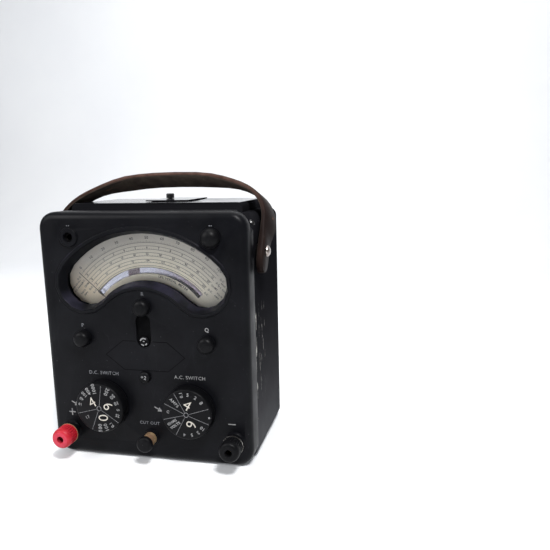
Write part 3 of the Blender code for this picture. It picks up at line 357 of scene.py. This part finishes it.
def pane():
    """Thin clear glass: it mirrors a little, and lets the rest of the light straight through."""
    material = bpy.data.materials.new("window_pane")
    material.use_nodes = True
    tree = material.node_tree
    tree.nodes.remove(tree.nodes["Principled BSDF"])
    clear, gloss = tree.nodes.new("ShaderNodeBsdfTransparent"), tree.nodes.new("ShaderNodeBsdfGlossy")
    fresnel, mixed = tree.nodes.new("ShaderNodeFresnel"), tree.nodes.new("ShaderNodeMixShader")
    clear.inputs["Color"].default_value = (0.985, 0.985, 0.98, 1)
    gloss.inputs["Roughness"].default_value = 0.04
    fresnel.inputs["IOR"].default_value = 1.3
    tree.links.new(fresnel.outputs[0], mixed.inputs[0])
    tree.links.new(clear.outputs[0], mixed.inputs[1])
    tree.links.new(gloss.outputs[0], mixed.inputs[2])
    tree.links.new(mixed.outputs[0], tree.nodes["Material Output"].inputs["Surface"])
    return material


PANEL_BLACK = moulding("panel_bakelite", (0.0022, 0.0023, 0.0032), (0.0048, 0.0050, 0.0064),
                       painted_recess_light=True).material
KNOB_BLACK = moulding("knob_bakelite", (0.0016, 0.0017, 0.0022), (0.0040, 0.0040, 0.0048), (0.36, 0.5),
                      0.15, 0.09).material
# Near-black for the glass frame, the cover outline and the adjuster recess floor; in the socket hole it is painted
# shade.
DEEP_BLACK_AND_SHADE = plain("recess_black_and_shade", (0.0010, 0.0010, 0.0012), (0.0020, 0.0020, 0.0024), (0.6, 0.8),
                   shine=0.03).material
CASE_BLACK = case_paint().material
WHITE_FILL = paint("white_filling", (0.27, 0.27, 0.27), (0.10, 0.10, 0.11), (0.35, 0.75)).material
BRIGHT_FILL = paint("bright_filling", (0.50, 0.47, 0.42), (0.30, 0.28, 0.25)).material
DIM_FILL = paint("dim_filling", (0.24, 0.24, 0.25), (0.09, 0.09, 0.10), (0.4, 0.7)).material
GREY_FILL = paint("grey_filling", (0.17, 0.175, 0.19), (0.03, 0.03, 0.035)).material
# Scale ink; it also draws the painted shadow along the mirror slot.
INK_AND_SHADE = paint("scale_ink_and_shade", (0.020, 0.020, 0.020), (0.10, 0.09, 0.08)).material
SLOT_LOOK = {
    "black_moulding": KNOB_BLACK,
    "case_black": CASE_BLACK,
    "red_moulding": red_moulding().material,
    "window_glass": pane(),
    "scale_cream": scale_card().material,
    "mirror_strip": mirror_silver().material,
    "brass": metal("tarnished_brass", (0.62, 0.44, 0.20), (0.30, 0.19, 0.09)).material,
    "nickel": metal("worn_nickel", (0.62, 0.60, 0.56), (0.36, 0.33, 0.29), (0.22, 0.45)).material,
    "spring_steel": metal("spring_steel", (0.36, 0.36, 0.38), (0.22, 0.21, 0.20)).material,
    "magnet_steel": plain("magnet_lacquer", (0.05, 0.06, 0.07), (0.10, 0.11, 0.12), (0.4, 0.6)).material,
    "soft_iron": metal("soft_iron", (0.30, 0.30, 0.31), (0.16, 0.15, 0.14), (0.4, 0.6)).material,
    "copper_wire": metal("enamelled_copper", (0.55, 0.22, 0.10), (0.34, 0.12, 0.05), (0.25, 0.4)).material,
    "laminate_board": plain("phenolic_board", (0.14, 0.06, 0.02), (0.22, 0.10, 0.04), (0.4, 0.6)).material,
    "battery_card": plain("battery_sleeve", (0.35, 0.30, 0.20), (0.48, 0.42, 0.30), (0.6, 0.8)).material,
    "brown_leather": leather().material,
}
BUSH_BRASS = metal("bright_brass", (0.62, 0.44, 0.24), (0.36, 0.20, 0.13), (0.25, 0.4), 0.7).material
SCREW_LOOK = metal("blackened_screw", (0.10, 0.10, 0.10), (0.04, 0.04, 0.04), (0.3, 0.5)).material
STUD_LOOK = stud_metal().material
# The brass socket sleeve is painted near-black: painted shade inside the socket hole.
SLEEVE_SHADE_LOOK = metal("sleeve_painted_shade", (0.05, 0.045, 0.035), (0.02, 0.02, 0.02), (0.4, 0.6)).material
NODE_LOOK = {
    "front_panel": PANEL_BLACK,
    "corner_screw_left": SCREW_LOOK,
    "corner_screw_right": SCREW_LOOK,
    "lid_screw": SCREW_LOOK,
    "strap_stud_left": STUD_LOOK,
    "strap_stud_right": STUD_LOOK,
    "socket_sleeve": SLEEVE_SHADE_LOOK,
    "glass_frame": DEEP_BLACK_AND_SHADE,
}


# ---------------------------------------------------------------- shapes

def link(name, mesh, look, body):
    """Names the object, gives it its look and lets it ride on its body."""
    mesh.name = name
    obj = bpy.data.objects.new(name, mesh)
    bpy.context.scene.collection.objects.link(obj)
    mesh.materials.clear()
    mesh.materials.append(look)
    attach(obj, body)
    return obj


def solid(name, bm, look, body, angle=35):
    """Turns a bmesh into a piece with soft shading, sharp above this angle."""
    bmesh.ops.recalc_face_normals(bm, faces=bm.faces)
    mesh = bpy.data.meshes.new(name)
    bm.to_mesh(mesh)
    bm.free()
    mesh.shade_smooth()
    mesh.set_sharp_from_angle(angle=math.radians(angle))
    return link(name, mesh, look, body)


def dress(node, edge, angle=32):
    """A visible copy of a CAD piece with eased edges, in its place."""
    source = frame["nodes"][node]
    bm = bmesh.new()
    bm.from_mesh(source.data)
    bmesh.ops.remove_doubles(bm, verts=bm.verts, dist=1e-6)
    bmesh.ops.dissolve_limit(bm, angle_limit=math.radians(0.5), verts=bm.verts, edges=bm.edges)
    slot = SLOT_OF[node]
    obj = solid(node + "_surface", bm, NODE_LOOK.get(node, SLOT_LOOK[slot]), BODY_OF[node], angle)
    bevel = obj.modifiers.new("eased_edges", "BEVEL")
    bevel.width = edge
    bevel.segments = 2
    bevel.limit_method = "ANGLE"
    bevel.angle_limit = math.radians(angle)
    bevel.harden_normals = True
    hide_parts(node)


def turned(name, node, centre, profile, look, steps=96, flutes=None, stands_for=True):
    """Revolves (radius, depth) points about the panel's normal at centre, an (x, z) pair.

    flutes holds how many there are, how deep they cut, and the first and last point that they cut.
    """
    bm = bmesh.new()
    rows = []
    for index, (radius, depth) in enumerate(profile):
        row = []
        for i in range(1 if radius == 0 else steps):
            a = 2 * math.pi * i / steps
            r = radius
            if flutes:
                count, cut, first, last = flutes
                if first <= index <= last:
                    r -= cut * (0.5 - 0.5 * math.cos(count * a)) ** 2
            x, z = centre[0] + r * math.cos(a), centre[1] + r * math.sin(a)
            row.append(bm.verts.new((x, FRONT + depth, z)))
        rows.append(row)
    pairs = list(zip(rows, rows[1:]))
    if profile[0][0] > 0 and profile[-1][0] > 0:
        pairs.append((rows[-1], rows[0]))
    for near, far in pairs:
        for i in range(steps):
            j = (i + 1) % steps
            ring = [near[i % len(near)], near[j % len(near)], far[j % len(far)], far[i % len(far)]]
            bm.faces.new(list(dict.fromkeys(ring)))
    obj = solid(name, bm, look, BODY_OF[node], 40)
    if stands_for:
        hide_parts(node)


def prisms(name, body, look, outlines, depth, thick):
    """Flat shapes, as (x, z) outlines, raised from a depth towards the viewer. They form one piece."""
    bm = bmesh.new()
    for outline in outlines:
        back = [bm.verts.new((x, FRONT + depth, z)) for x, z in outline]
        front = [bm.verts.new((x, FRONT + depth - thick, z)) for x, z in outline]
        bm.faces.new(front)
        bm.faces.new(back[::-1])
        for i in range(len(outline)):
            j = (i + 1) % len(outline)
            bm.faces.new((front[i], back[i], back[j], front[j]))
    solid(name, bm, look, body)


def stroke(start, end, width):
    """A straight line with square ends."""
    start, end = Vector(start), Vector(end)
    across = (end - start).normalized().orthogonal() * width / 2
    return [start + across, end + across, end - across, start - across]


def polar(centre, radius, degrees):
    """The place at this radius, in degrees clockwise from the top."""
    a = math.radians(degrees)
    return Vector((centre[0] + radius * math.sin(a), centre[1] + radius * math.cos(a)))


def arc(centre, radius, start, end, width, end_width=None, steps=60):
    """A curved line from one angle to another, in degrees clockwise from the top."""
    outer, inner = [], []
    for i in range(steps + 1):
        share = i / steps
        half = (width + ((end_width or width) - width) * share) / 2
        a = start + (end - start) * share
        outer.append(polar(centre, radius + half, a))
        inner.append(polar(centre, radius - half, a))
    return outer + inner[::-1]


CAPITALS_SHARE = 0.72


def lettering(name, body, look, items, depth, thick=0.05 * MM):
    """Raised marks from (text, height, (x, z), degrees clockwise, boldness), as one piece."""
    bm = bmesh.new()
    for text, height, spot, turn, bold in items:
        curve = bpy.data.curves.new("letters", "FONT")
        curve.body = text
        curve.size = height / CAPITALS_SHARE
        curve.align_x = "CENTER"
        curve.align_y = "CENTER"
        curve.extrude = thick / 2
        curve.offset = bold
        curve.resolution_u = 3
        curve.space_character = 1.12
        writer = bpy.data.objects.new("letters", curve)
        bpy.context.scene.collection.objects.link(writer)
        bpy.context.view_layer.update()
        graph = bpy.context.evaluated_depsgraph_get()
        mesh = bpy.data.meshes.new_from_object(writer.evaluated_get(graph))
        place = Matrix.Translation((spot[0], FRONT + depth - thick / 2, spot[1]))
        place = place @ Matrix.Rotation(math.radians(turn), 4, "Y") @ Matrix.Rotation(math.pi / 2, 4, "X")
        mesh.transform(place)
        bm.from_mesh(mesh)
        bpy.data.meshes.remove(mesh)
        bpy.data.objects.remove(writer)
        bpy.data.curves.remove(curve)
    solid(name, bm, look, body)


# ---------------------------------------------------------------- the instrument

def joint_spot(name):
    """Where a joint's axis meets the panel, as (x, z)."""
    place = JOINT[name]["pos_m"]
    return Vector((place[0], place[2]))


def dress_case():
    dress("front_panel", 0.25 * MM, angle=40)
    dress("rear_case", 0.5 * MM, angle=40)
    dress("battery_lid", 0.2 * MM)
    dress("carrying_strap", 0.3 * MM, angle=50)
    for node in ("strap_stud_left", "strap_stud_right", "lid_screw", "corner_screw_left",
                 "corner_screw_right", "glass_frame", "zero_adjuster", "socket_sleeve"):
        dress(node, 0.1 * MM)


def paint_the_rest():
    """The inner pieces keep their CAD shape and take the look of their slot."""
    for node, obj in frame["nodes"].items():
        if obj.hide_render:
            continue
        obj.data.materials.clear()
        obj.data.materials.append(SLOT_LOOK[SLOT_OF[node]])


DIAL_RADIUS, DIAL_PROUD = 21.5 * MM, 12.0 * MM


def build_dials():
    radius, proud = DIAL_RADIUS, DIAL_PROUD
    for key in ("dc", "ac"):
        spot = joint_spot(f"{key}_switch_turn")
        node = f"{key}_range_dial"
        profile = [(0, -proud), (19.9 * MM, -proud), (20.5 * MM, -proud + 0.15 * MM),
                   (21.0 * MM, -proud + 0.5 * MM), (21.3 * MM, -proud + 1.0 * MM),
                   (radius, -proud + 1.9 * MM), (radius, -1.4 * MM), (21.0 * MM, -0.8 * MM),
                   (3.3 * MM, -0.8 * MM), (3.3 * MM, -8.6 * MM),
                   (0, -8.6 * MM)]
        turned(node + "_surface", node, spot, profile, KNOB_BLACK, steps=128)


# Clockwise angles of the lines that part the sectors
DC_LINES = (8.4, 124, -105.4, -158.3)
AC_LINES = (-28.4, -64.8, 71.7, 110, -104.5, -151.8)
# Figures round the rim: text, clockwise angle, height in mm
DC_MARKS = (("1000", -12, 3.1), ("400", -31, 2.9), ("100", -47, 2.6), ("40", -63, 2.4), ("10", -80, 2.2),
            ("250", 27, 3.1), ("50", 48.5, 3.1), ("10", 70, 2.9), ("5", 90, 2.6), ("25", 107, 2.6),
            ("0.1", 142, 2.6), ("100", 161, 3.1), ("500", 180, 3.2))
AC_MARKS = (("0.1", -11.4, 2.6), ("5", 7, 2.8), ("2", 29.5, 2.8), ("8", 50, 3.0), ("10", 128, 2.8),
            ("2", 146, 2.8), ("5", 166, 2.6), ("4", -172.5, 2.6))
# Large figures: text, radius in mm, clockwise angle, turn of the figure
DC_BOLD = (("4", 7.4, -51, -30), ("6", 8.3, 72, 62), ("0", 8.4, 161, 86))
AC_BOLD = (("4", 8.0, 8, 30), ("6", 8.6, 155, 105))


def mark_dials():
    face = -DIAL_PROUD
    dials = (("dc", DC_LINES, DC_MARKS, DC_BOLD), ("ac", AC_LINES, AC_MARKS, AC_BOLD))
    for key, lines, marks, bold in dials:
        spot = joint_spot(f"{key}_switch_turn")
        body = f"{key}_switch"
        shapes = [stroke(polar(spot, 2.6 * MM, a), polar(spot, 20.2 * MM, a), 0.26 * MM) for a in lines]
        shapes.append(arc(spot, 1.9 * MM, 0, 350, 0.4 * MM))
        prisms(f"{key}_dial_lines", body, DIM_FILL, shapes, face, 0.06 * MM)
        items = []
        for text, a, height in marks:
            along = a - 90 if a < 0 else a + 90
            turn = along if len(text) > 1 else a
            items.append((text, height * MM, polar(spot, 17.2 * MM, a), turn, 0.00008))
        if key == "ac":
            items += [("AMPS", 2.6 * MM, polar(spot, 13.8 * MM, -45), 45, 0.00004),
                      ("OHMS", 2.2 * MM, polar(spot, 14.2 * MM, -120), -33, 0.0001),
                      ("VOLTS", 2.2 * MM, polar(spot, 13.6 * MM, -135), -36, 0.0001),
                      ("C", 2.4 * MM, polar(spot, 15.6 * MM, -84), 8, 0.0001)]
            dot = polar(spot, 19.6 * MM, 93)
            ring = arc(dot, 0.45 * MM, 0, 352, 0.85 * MM, steps=12)
            prisms("ac_dial_dot", body, WHITE_FILL, [ring], face, 0.06 * MM)
        else:
            items += [("17", 2.8 * MM, polar(spot, 14.0 * MM, -127), -28, 0.0)]
        lettering(f"{key}_dial_figures", body, WHITE_FILL, items, face, 0.06 * MM)
        heavy = [(text, 9.2 * MM, polar(spot, r * MM, a), turn, -0.00012) for text, r, a, turn in bold]
        lettering(f"{key}_dial_numbers", body, BRIGHT_FILL, heavy, face, 0.07 * MM)


def build_trimmers():
    """Low domed knobs on short shafts."""
    r, proud = 7.0 * MM, 8.5 * MM
    for key in "pqr":
        spot = joint_spot(f"{key}_knob_turn")
        node = f"{key}_trim_knob"
        profile = [(0, -proud), (2.6 * MM, -proud + 0.05 * MM), (3.8 * MM, -proud + 0.2 * MM),
                   (4.9 * MM, -proud + 0.6 * MM), (5.8 * MM, -proud + 1.3 * MM),
                   (6.4 * MM, -proud + 2.1 * MM), (6.8 * MM, -proud + 3.0 * MM),
                   (r, -proud + 4.0 * MM), (r, -0.5 * MM), (2.5 * MM, -0.5 * MM),
                   (2.5 * MM, 11.8 * MM), (0, 11.8 * MM)]
        turned(node + "_surface", node, spot, profile, KNOB_BLACK, steps=72)


def build_terminals():
    """Fluted heads with a plug hole, each behind it a ring, a washer and a collar."""
    front, length, full = -21.0 * MM, 13.5 * MM, 8.7 * MM
    back = front + length
    for key in ("positive", "negative"):
        spot = joint_spot(f"{key}_head_turn")
        node = f"{key}_terminal_head"
        look = SLOT_LOOK["red_moulding"] if key == "positive" else KNOB_BLACK
        profile = [(2.3 * MM, back), (2.3 * MM, front + 6.4 * MM), (2.8 * MM, front + 6.4 * MM),
                   (2.8 * MM, front + 0.6 * MM), (3.1 * MM, front), (5.6 * MM, front),
                   (6.9 * MM, front + 0.3 * MM), (7.7 * MM, front + 0.9 * MM), (8.3 * MM, front + 1.9 * MM),
                   (8.6 * MM, front + 3.2 * MM), (full, front + 4.6 * MM), (full, front + 5.8 * MM),
                   (full, back - 1.2 * MM), (8.4 * MM, back - 0.4 * MM), (7.5 * MM, back)]
        turned(node + "_surface", node, spot, profile, look, steps=200, flutes=(26, 0.85 * MM, 11, 12))
        ring = [(8.0 * MM, back - 0.5 * MM), (8.78 * MM, back - 0.5 * MM), (8.78 * MM, back - 0.05 * MM),
                (8.0 * MM, back - 0.05 * MM)]
        ring_look = BUSH_BRASS if key == "positive" else SLOT_LOOK["nickel"]
        turned(f"{key}_head_ring", node, spot, ring, ring_look, stands_for=False)
        washer = [(2.3 * MM, back + 0.3 * MM), (6.3 * MM, back + 0.3 * MM), (6.6 * MM, back + 0.6 * MM),
                  (6.6 * MM, back + 1.2 * MM), (6.3 * MM, back + 1.5 * MM), (2.3 * MM, back + 1.5 * MM)]
        turned(f"{key}_terminal_washer_surface", f"{key}_terminal_washer", spot, washer, SLOT_LOOK["brass"])
        collar = [(2.4 * MM, -5.4 * MM), (6.4 * MM, -5.4 * MM), (6.9 * MM, -5.1 * MM), (7.0 * MM, -4.7 * MM),
                  (7.0 * MM, -1.9 * MM), (4.1 * MM, -1.9 * MM), (4.1 * MM, 5.7 * MM), (2.4 * MM, 5.7 * MM)]
        turned(f"{key}_terminal_collar_surface", f"{key}_terminal_collar", spot, collar, KNOB_BLACK)


def build_cap_and_keys():
    spot = joint_spot("cap_nut_turn")
    cap = [(0, -8.6 * MM), (2.0 * MM, -8.5 * MM), (3.6 * MM, -8.1 * MM), (5.0 * MM, -7.4 * MM),
           (6.2 * MM, -6.3 * MM), (7.1 * MM, -5.0 * MM), (7.8 * MM, -3.3 * MM), (8.2 * MM, -1.3 * MM),
           (7.8 * MM, -0.5 * MM), (2.3 * MM, -0.5 * MM), (2.3 * MM, -4.5 * MM), (0, -4.5 * MM)]
    turned("cap_nut_surface", "cap_nut", spot, cap, KNOB_BLACK)
    low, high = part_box("cutout_button")
    spot = ((low.x + high.x) / 2, (low.z + high.z) / 2)
    front = low.y - FRONT
    mouth, hollow = -12.4 * MM, front + 2.2 * MM
    cap = [(0, front + 0.1 * MM), (4.4 * MM, front), (5.3 * MM, front + 0.1 * MM),
           (6.0 * MM, front + 0.5 * MM), (6.5 * MM, front + 1.1 * MM),
           (6.7 * MM, front + 1.9 * MM), (6.7 * MM, mouth - 0.3 * MM),
           (6.5 * MM, mouth), (5.8 * MM, mouth), (5.8 * MM, hollow), (2.6 * MM, hollow),
           (2.6 * MM, 7.6 * MM), (4.2 * MM, 7.6 * MM), (4.2 * MM, 8.6 * MM), (1.8 * MM, 8.6 * MM),
           (1.8 * MM, 29 * MM), (0, 29 * MM)]
    turned("cutout_button_surface", "cutout_button", spot, cap, KNOB_BLACK)
    bush = [(2.9 * MM, -11.8 * MM), (4.9 * MM, -11.8 * MM), (5.3 * MM, -11.5 * MM), (5.4 * MM, -11.1 * MM),
            (5.4 * MM, -0.2 * MM), (5.4 * MM, 7.0 * MM), (2.9 * MM, 7.0 * MM)]
    turned("cutout_bush_surface", "cutout_bush", spot, bush, BUSH_BRASS)
    dress("divide_button", 0.15 * MM)


# Places on the panel as (x, z), and heights of whole rows
TITLE_Z, TERMINAL_SIGN_Z, ARROW_Z = 0.0752, 0.0381, 0.0442
CUT_OUT_TITLE, R_TITLE = (0.0007, 0.0331), (0.0008, 0.1445)
P_TITLE, Q_TITLE = (-0.0548, 0.1163), (0.0548, 0.1163)
SOCKET_DOTS = ((-0.0612, 0.2014), (0.0612, 0.2014))


def label_panel():
    """Filled lettering and signs, the outline in the middle, a dark floor in the adjuster recess, and painted
    shade inside the socket hole.
    """
    dc, ac = joint_spot("dc_switch_turn"), joint_spot("ac_switch_turn")
    plus, minus = joint_spot("positive_head_turn"), joint_spot("negative_head_turn")
    faint = [("D.C. SWITCH", 3.0 * MM, (dc.x, TITLE_Z), 0, 0.0),
             ("CUT OUT", 2.7 * MM, CUT_OUT_TITLE, 0, 0.0),
             ("P", 3.0 * MM, P_TITLE, 0, 0.0), ("R", 3.0 * MM, R_TITLE, 0, 0.0),
             ("..", 4.2 * MM, SOCKET_DOTS[0], 0, 0.0001), ("..", 4.2 * MM, SOCKET_DOTS[1], 0, 0.0001)]
    clear = [("A.C. SWITCH", 3.0 * MM, (ac.x, TITLE_Z), 0, 0.0),
             ("Q", 3.2 * MM, Q_TITLE, 0, 0.0001)]
    lettering("panel_labels_faint", CASE, GREY_FILL, faint, 0.0)
    lettering("panel_labels_clear", CASE, WHITE_FILL, clear, 0.0)
    low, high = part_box("divide_button")
    spot = ((low.x + high.x) / 2 - 0.4 * MM, (low.z + high.z) / 2 + 0.2 * MM)
    mark = [("÷2", 3.2 * MM, spot, 12, 0.00005)]
    lettering("divide_mark", "divide_key", WHITE_FILL, mark, low.y - FRONT)
    mark_z, arm = TERMINAL_SIGN_Z, 3.1 * MM
    x = plus.x + 0.2 * MM
    signs = [stroke((x - arm, mark_z), (x + arm, mark_z), 0.9 * MM),
             stroke((x, mark_z + 0.45 * MM), (x, mark_z + arm), 0.9 * MM),
             stroke((x, mark_z - 0.45 * MM), (x, mark_z - arm), 0.9 * MM),
             stroke((minus.x - 5.7 * MM, 0.0375), (minus.x + 0.7 * MM, 0.0375), 0.8 * MM)]
    for centre in (dc, ac):
        tip = Vector((centre.x - 25.4 * MM, ARROW_Z))
        tail = tip + Vector((-7.2 * MM, 3.8 * MM))
        signs.append(stroke(tail, tip + Vector((-2.4 * MM, 1.2 * MM)), 0.8 * MM))
        signs.append([tip, tip + Vector((-4.6 * MM, 0.0)), tip + Vector((-3.0 * MM, 3.6 * MM))])
    prisms("panel_signs", CASE, WHITE_FILL, signs, 0.0, 0.05 * MM)
    corners = [(-0.019, 0.1045), (0.020, 0.1045), (0.035, 0.092), (0.020, 0.0795), (-0.019, 0.0795),
               (-0.035, 0.092)]
    gap = 7.4 * MM
    sides = list(zip(corners, corners[1:] + corners[:1]))[1:]
    sides += [(corners[0], (-gap, corners[0][1])), ((gap, corners[1][1]), corners[1])]
    ridge = [stroke(a, b, 0.5 * MM) for a, b in sides]
    prisms("panel_cover_outline", CASE, DEEP_BLACK_AND_SHADE, ridge, 0.0, 0.05 * MM)
    # A dark floor in the slot-shaped recess round the zero adjuster
    rise, half = 7.9 * MM, 6.3 * MM
    middle = (PIVOT.x, PIVOT.z + 11.1 * MM)
    liner = []
    for i in range(25):
        a = math.radians(-90 + 180 * i / 24)
        top = middle[1] + math.copysign(rise, math.cos(a))
        liner.append((middle[0] + half * math.sin(a), top + half * math.cos(a)))
    liner += [(x, 2 * middle[1] - z) for x, z in liner[::-1]]
    prisms("adjuster_recess_floor", CASE, DEEP_BLACK_AND_SHADE, [liner], 1.19 * MM, 0.05 * MM)
    # Painted shade: a near-black lining inside the socket hole.
    socket = (JOINT["cap_nut_turn"]["pos_m"][0] * -1, JOINT["cap_nut_turn"]["pos_m"][2])
    well = [(2.75 * MM, 1.9 * MM), (4.1 * MM, 0.3 * MM), (4.15 * MM, 0.3 * MM), (4.15 * MM, 1.95 * MM)]
    turned("socket_well_painted_shade", "front_panel", socket, well, DEEP_BLACK_AND_SHADE, stands_for=False)
    screw = joint_spot("zero_adjuster_turn")
    ring = [arc(screw, 2.9 * MM, a, b, 1.0 * MM, steps=12) for a, b in ((-75, 40), (115, 150), (178, 228))]
    ring.append(arc(screw, 0.5 * MM, -90, 90, 0.7 * MM, steps=8))
    prisms("zero_adjuster_mark", "zero_screw", WHITE_FILL, ring, -0.6 * MM, 0.05 * MM)


# Radii of the printed arcs, in mm
ARCS = (82.2, 79.4, 76.6, 73.8, 71.0, 68.2, 65.6, 63.0)


def print_scale():
    """Concentric scales round the pivot, with their divisions and figures."""
    low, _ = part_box("scale_plate")
    depth = low.y - FRONT
    centre = (PIVOT.x, PIVOT.z)
    shapes = [arc(centre, r * MM, -48, 48, 0.26 * MM, steps=90) for r in ARCS]
    for r, count, length in ((82.2, 100, 1.2), (76.6, 60, 0.9), (71.0, 50, 0.9), (65.6, 40, 0.8)):
        for i in range(count + 1):
            a = -46 + 92 * i / count
            tall = length * (1.7 if i % 10 == 0 else 1.3 if i % 5 == 0 else 1.0)
            shapes.append(stroke(polar(centre, r * MM, a), polar(centre, (r + tall) * MM, a), 0.17 * MM))
    prisms("scale_lines", CASE, INK_AND_SHADE, shapes, depth, 0.04 * MM)
    figures = []
    rows = ((86.2, 10, 10, 2.3), (78.0, 12, 1, 1.8), (72.5, 10, 5, 1.8), (67.0, 8, 25, 1.6))
    for r, count, step, height in rows:
        for i in range(count + 1):
            a = -46 + 92 * i / count
            figures.append((str(i * step), height * MM, polar(centre, r * MM, a), a, 0.00004))
    for side in (-1, 1):
        for r, text in ((82, "D.C."), (77.4, "A.C."), (73, "OHMS"), (68.4, "D.C."), (64, "A.C.")):
            a = side * 51.5
            figures.append((text, 1.6 * MM, polar(centre, r * MM, a), 40 if side > 0 else -46, 0.00004))
        for r, text in ((81, "READ ON ALL"), (77.8, "D.C. RANGES"), (72.6, "VOLTS"), (69.6, "AMPS")):
            a = side * (56.5 if r > 75 else 57.5)
            figures.append((text, 1.3 * MM, polar(centre, r * MM, a), 44 if side > 0 else -46, 0.00003))
    lettering("scale_figures", CASE, INK_AND_SHADE, figures, depth, 0.04 * MM)
    line = []
    for i, letter in enumerate("UNIVERSAL METER"):
        if letter != " ":
            a = 10.5 + i * 1.95
            line.append((letter, 2.0 * MM, polar(centre, 54.4 * MM, a), a, 0.00006))
    lettering("scale_words", CASE, INK_AND_SHADE, line, depth, 0.04 * MM)
    # Thin lines edge the mirror slot; the lower one widens towards the right end as a painted shadow of the slot's
    # edge on the mirror.
    left_end = stroke(polar(centre, 56.4 * MM, -50), polar(centre, 61.6 * MM, -50), 0.5 * MM)
    edge = [arc(centre, 61.5 * MM, -50, 50, 0.3 * MM), arc(centre, 56.6 * MM, -50, 4, 0.25 * MM),
            arc(centre, 56.8 * MM, 4, 50, 0.25 * MM, 1.5 * MM), left_end]
    prisms("mirror_slot_edge_and_shadow", CASE, INK_AND_SHADE, edge, depth, 0.05 * MM)


# ---------------------------------------------------------------- studio

# Name, place, what it points at, width in metres, watts
LIGHTS = (("key", (0.55, -0.78, 1.35), (0, 0, 0.05), 0.28, 30),
          ("left", (-1.1, -0.9, 1.0), (0, 0, 0.1), 0.9, 20),
          ("overhead", (-0.1, 0.5, 1.5), (0, 0.15, 0.0), 1.4, 14))
SKY = (0.93, 0.95, 1.0, 1)
SWEEP_GLOW = (0.90, 0.94, 1.0, 1)
SWEEP_HALF_WIDTH, SWEEP_NEAR, SWEEP_FAR, SWEEP_BEND, SWEEP_TOP = 4.0, -3.0, 0.9, 0.5, 3.0


def build_studio():
    """Lights, a pale sky, and a floor that bends up into the background."""
    for name, place, target, width, power in LIGHTS:
        data = bpy.data.lights.new(name, "AREA")
        data.size = width
        data.energy = power
        lamp = bpy.data.objects.new(name, data)
        lamp.location = place
        lamp.rotation_euler = (Vector(target) - Vector(place)).to_track_quat("-Z", "Y").to_euler()
        bpy.context.scene.collection.objects.link(lamp)

    world = bpy.data.worlds.new("studio")
    world.use_nodes = True
    world.node_tree.nodes["Background"].inputs["Color"].default_value = SKY
    world.node_tree.nodes["Background"].inputs["Strength"].default_value = 0.12
    bpy.context.scene.world = world

    sweep = Finish("studio_white", Roughness=0.5, Specular_IOR_Level=0.25)
    sweep.put("Base Color", sweep.mix(sweep.cloud(3, 0.3, 0.7), (0.72, 0.73, 0.75), (0.76, 0.77, 0.78)))
    sweep.shader.inputs["Emission Color"].default_value = SWEEP_GLOW
    sweep.shader.inputs["Emission Strength"].default_value = 0.10
    bm = bmesh.new()
    rows = []
    path = [(SWEEP_NEAR, 0.0), (SWEEP_FAR, 0.0)]
    for i in range(1, 13):
        a = math.pi / 2 * i / 12
        path.append((SWEEP_FAR + SWEEP_BEND * math.sin(a), SWEEP_BEND - SWEEP_BEND * math.cos(a)))
    path.append((SWEEP_FAR + SWEEP_BEND, SWEEP_TOP))
    for y, z in path:
        rows.append([bm.verts.new((x, y, z)) for x in (-SWEEP_HALF_WIDTH, SWEEP_HALF_WIDTH)])
    for near, far in zip(rows, rows[1:]):
        bm.faces.new((near[0], near[1], far[1], far[0]))
    mesh = bpy.data.meshes.new("studio_sweep")
    bm.to_mesh(mesh)
    bm.free()
    mesh.shade_smooth()
    mesh.materials.append(sweep.material)
    floor = bpy.data.objects.new("studio_sweep", mesh)
    floor.location.z = cad_low.z - 0.5 * MM
    bpy.context.scene.collection.objects.link(floor)
    bpy.context.scene.view_settings.view_transform = "Standard"


make_camera()
dress_case()
build_dials()
mark_dials()
build_trimmers()
build_terminals()
build_cap_and_keys()
label_panel()
print_scale()
paint_the_rest()
build_studio()
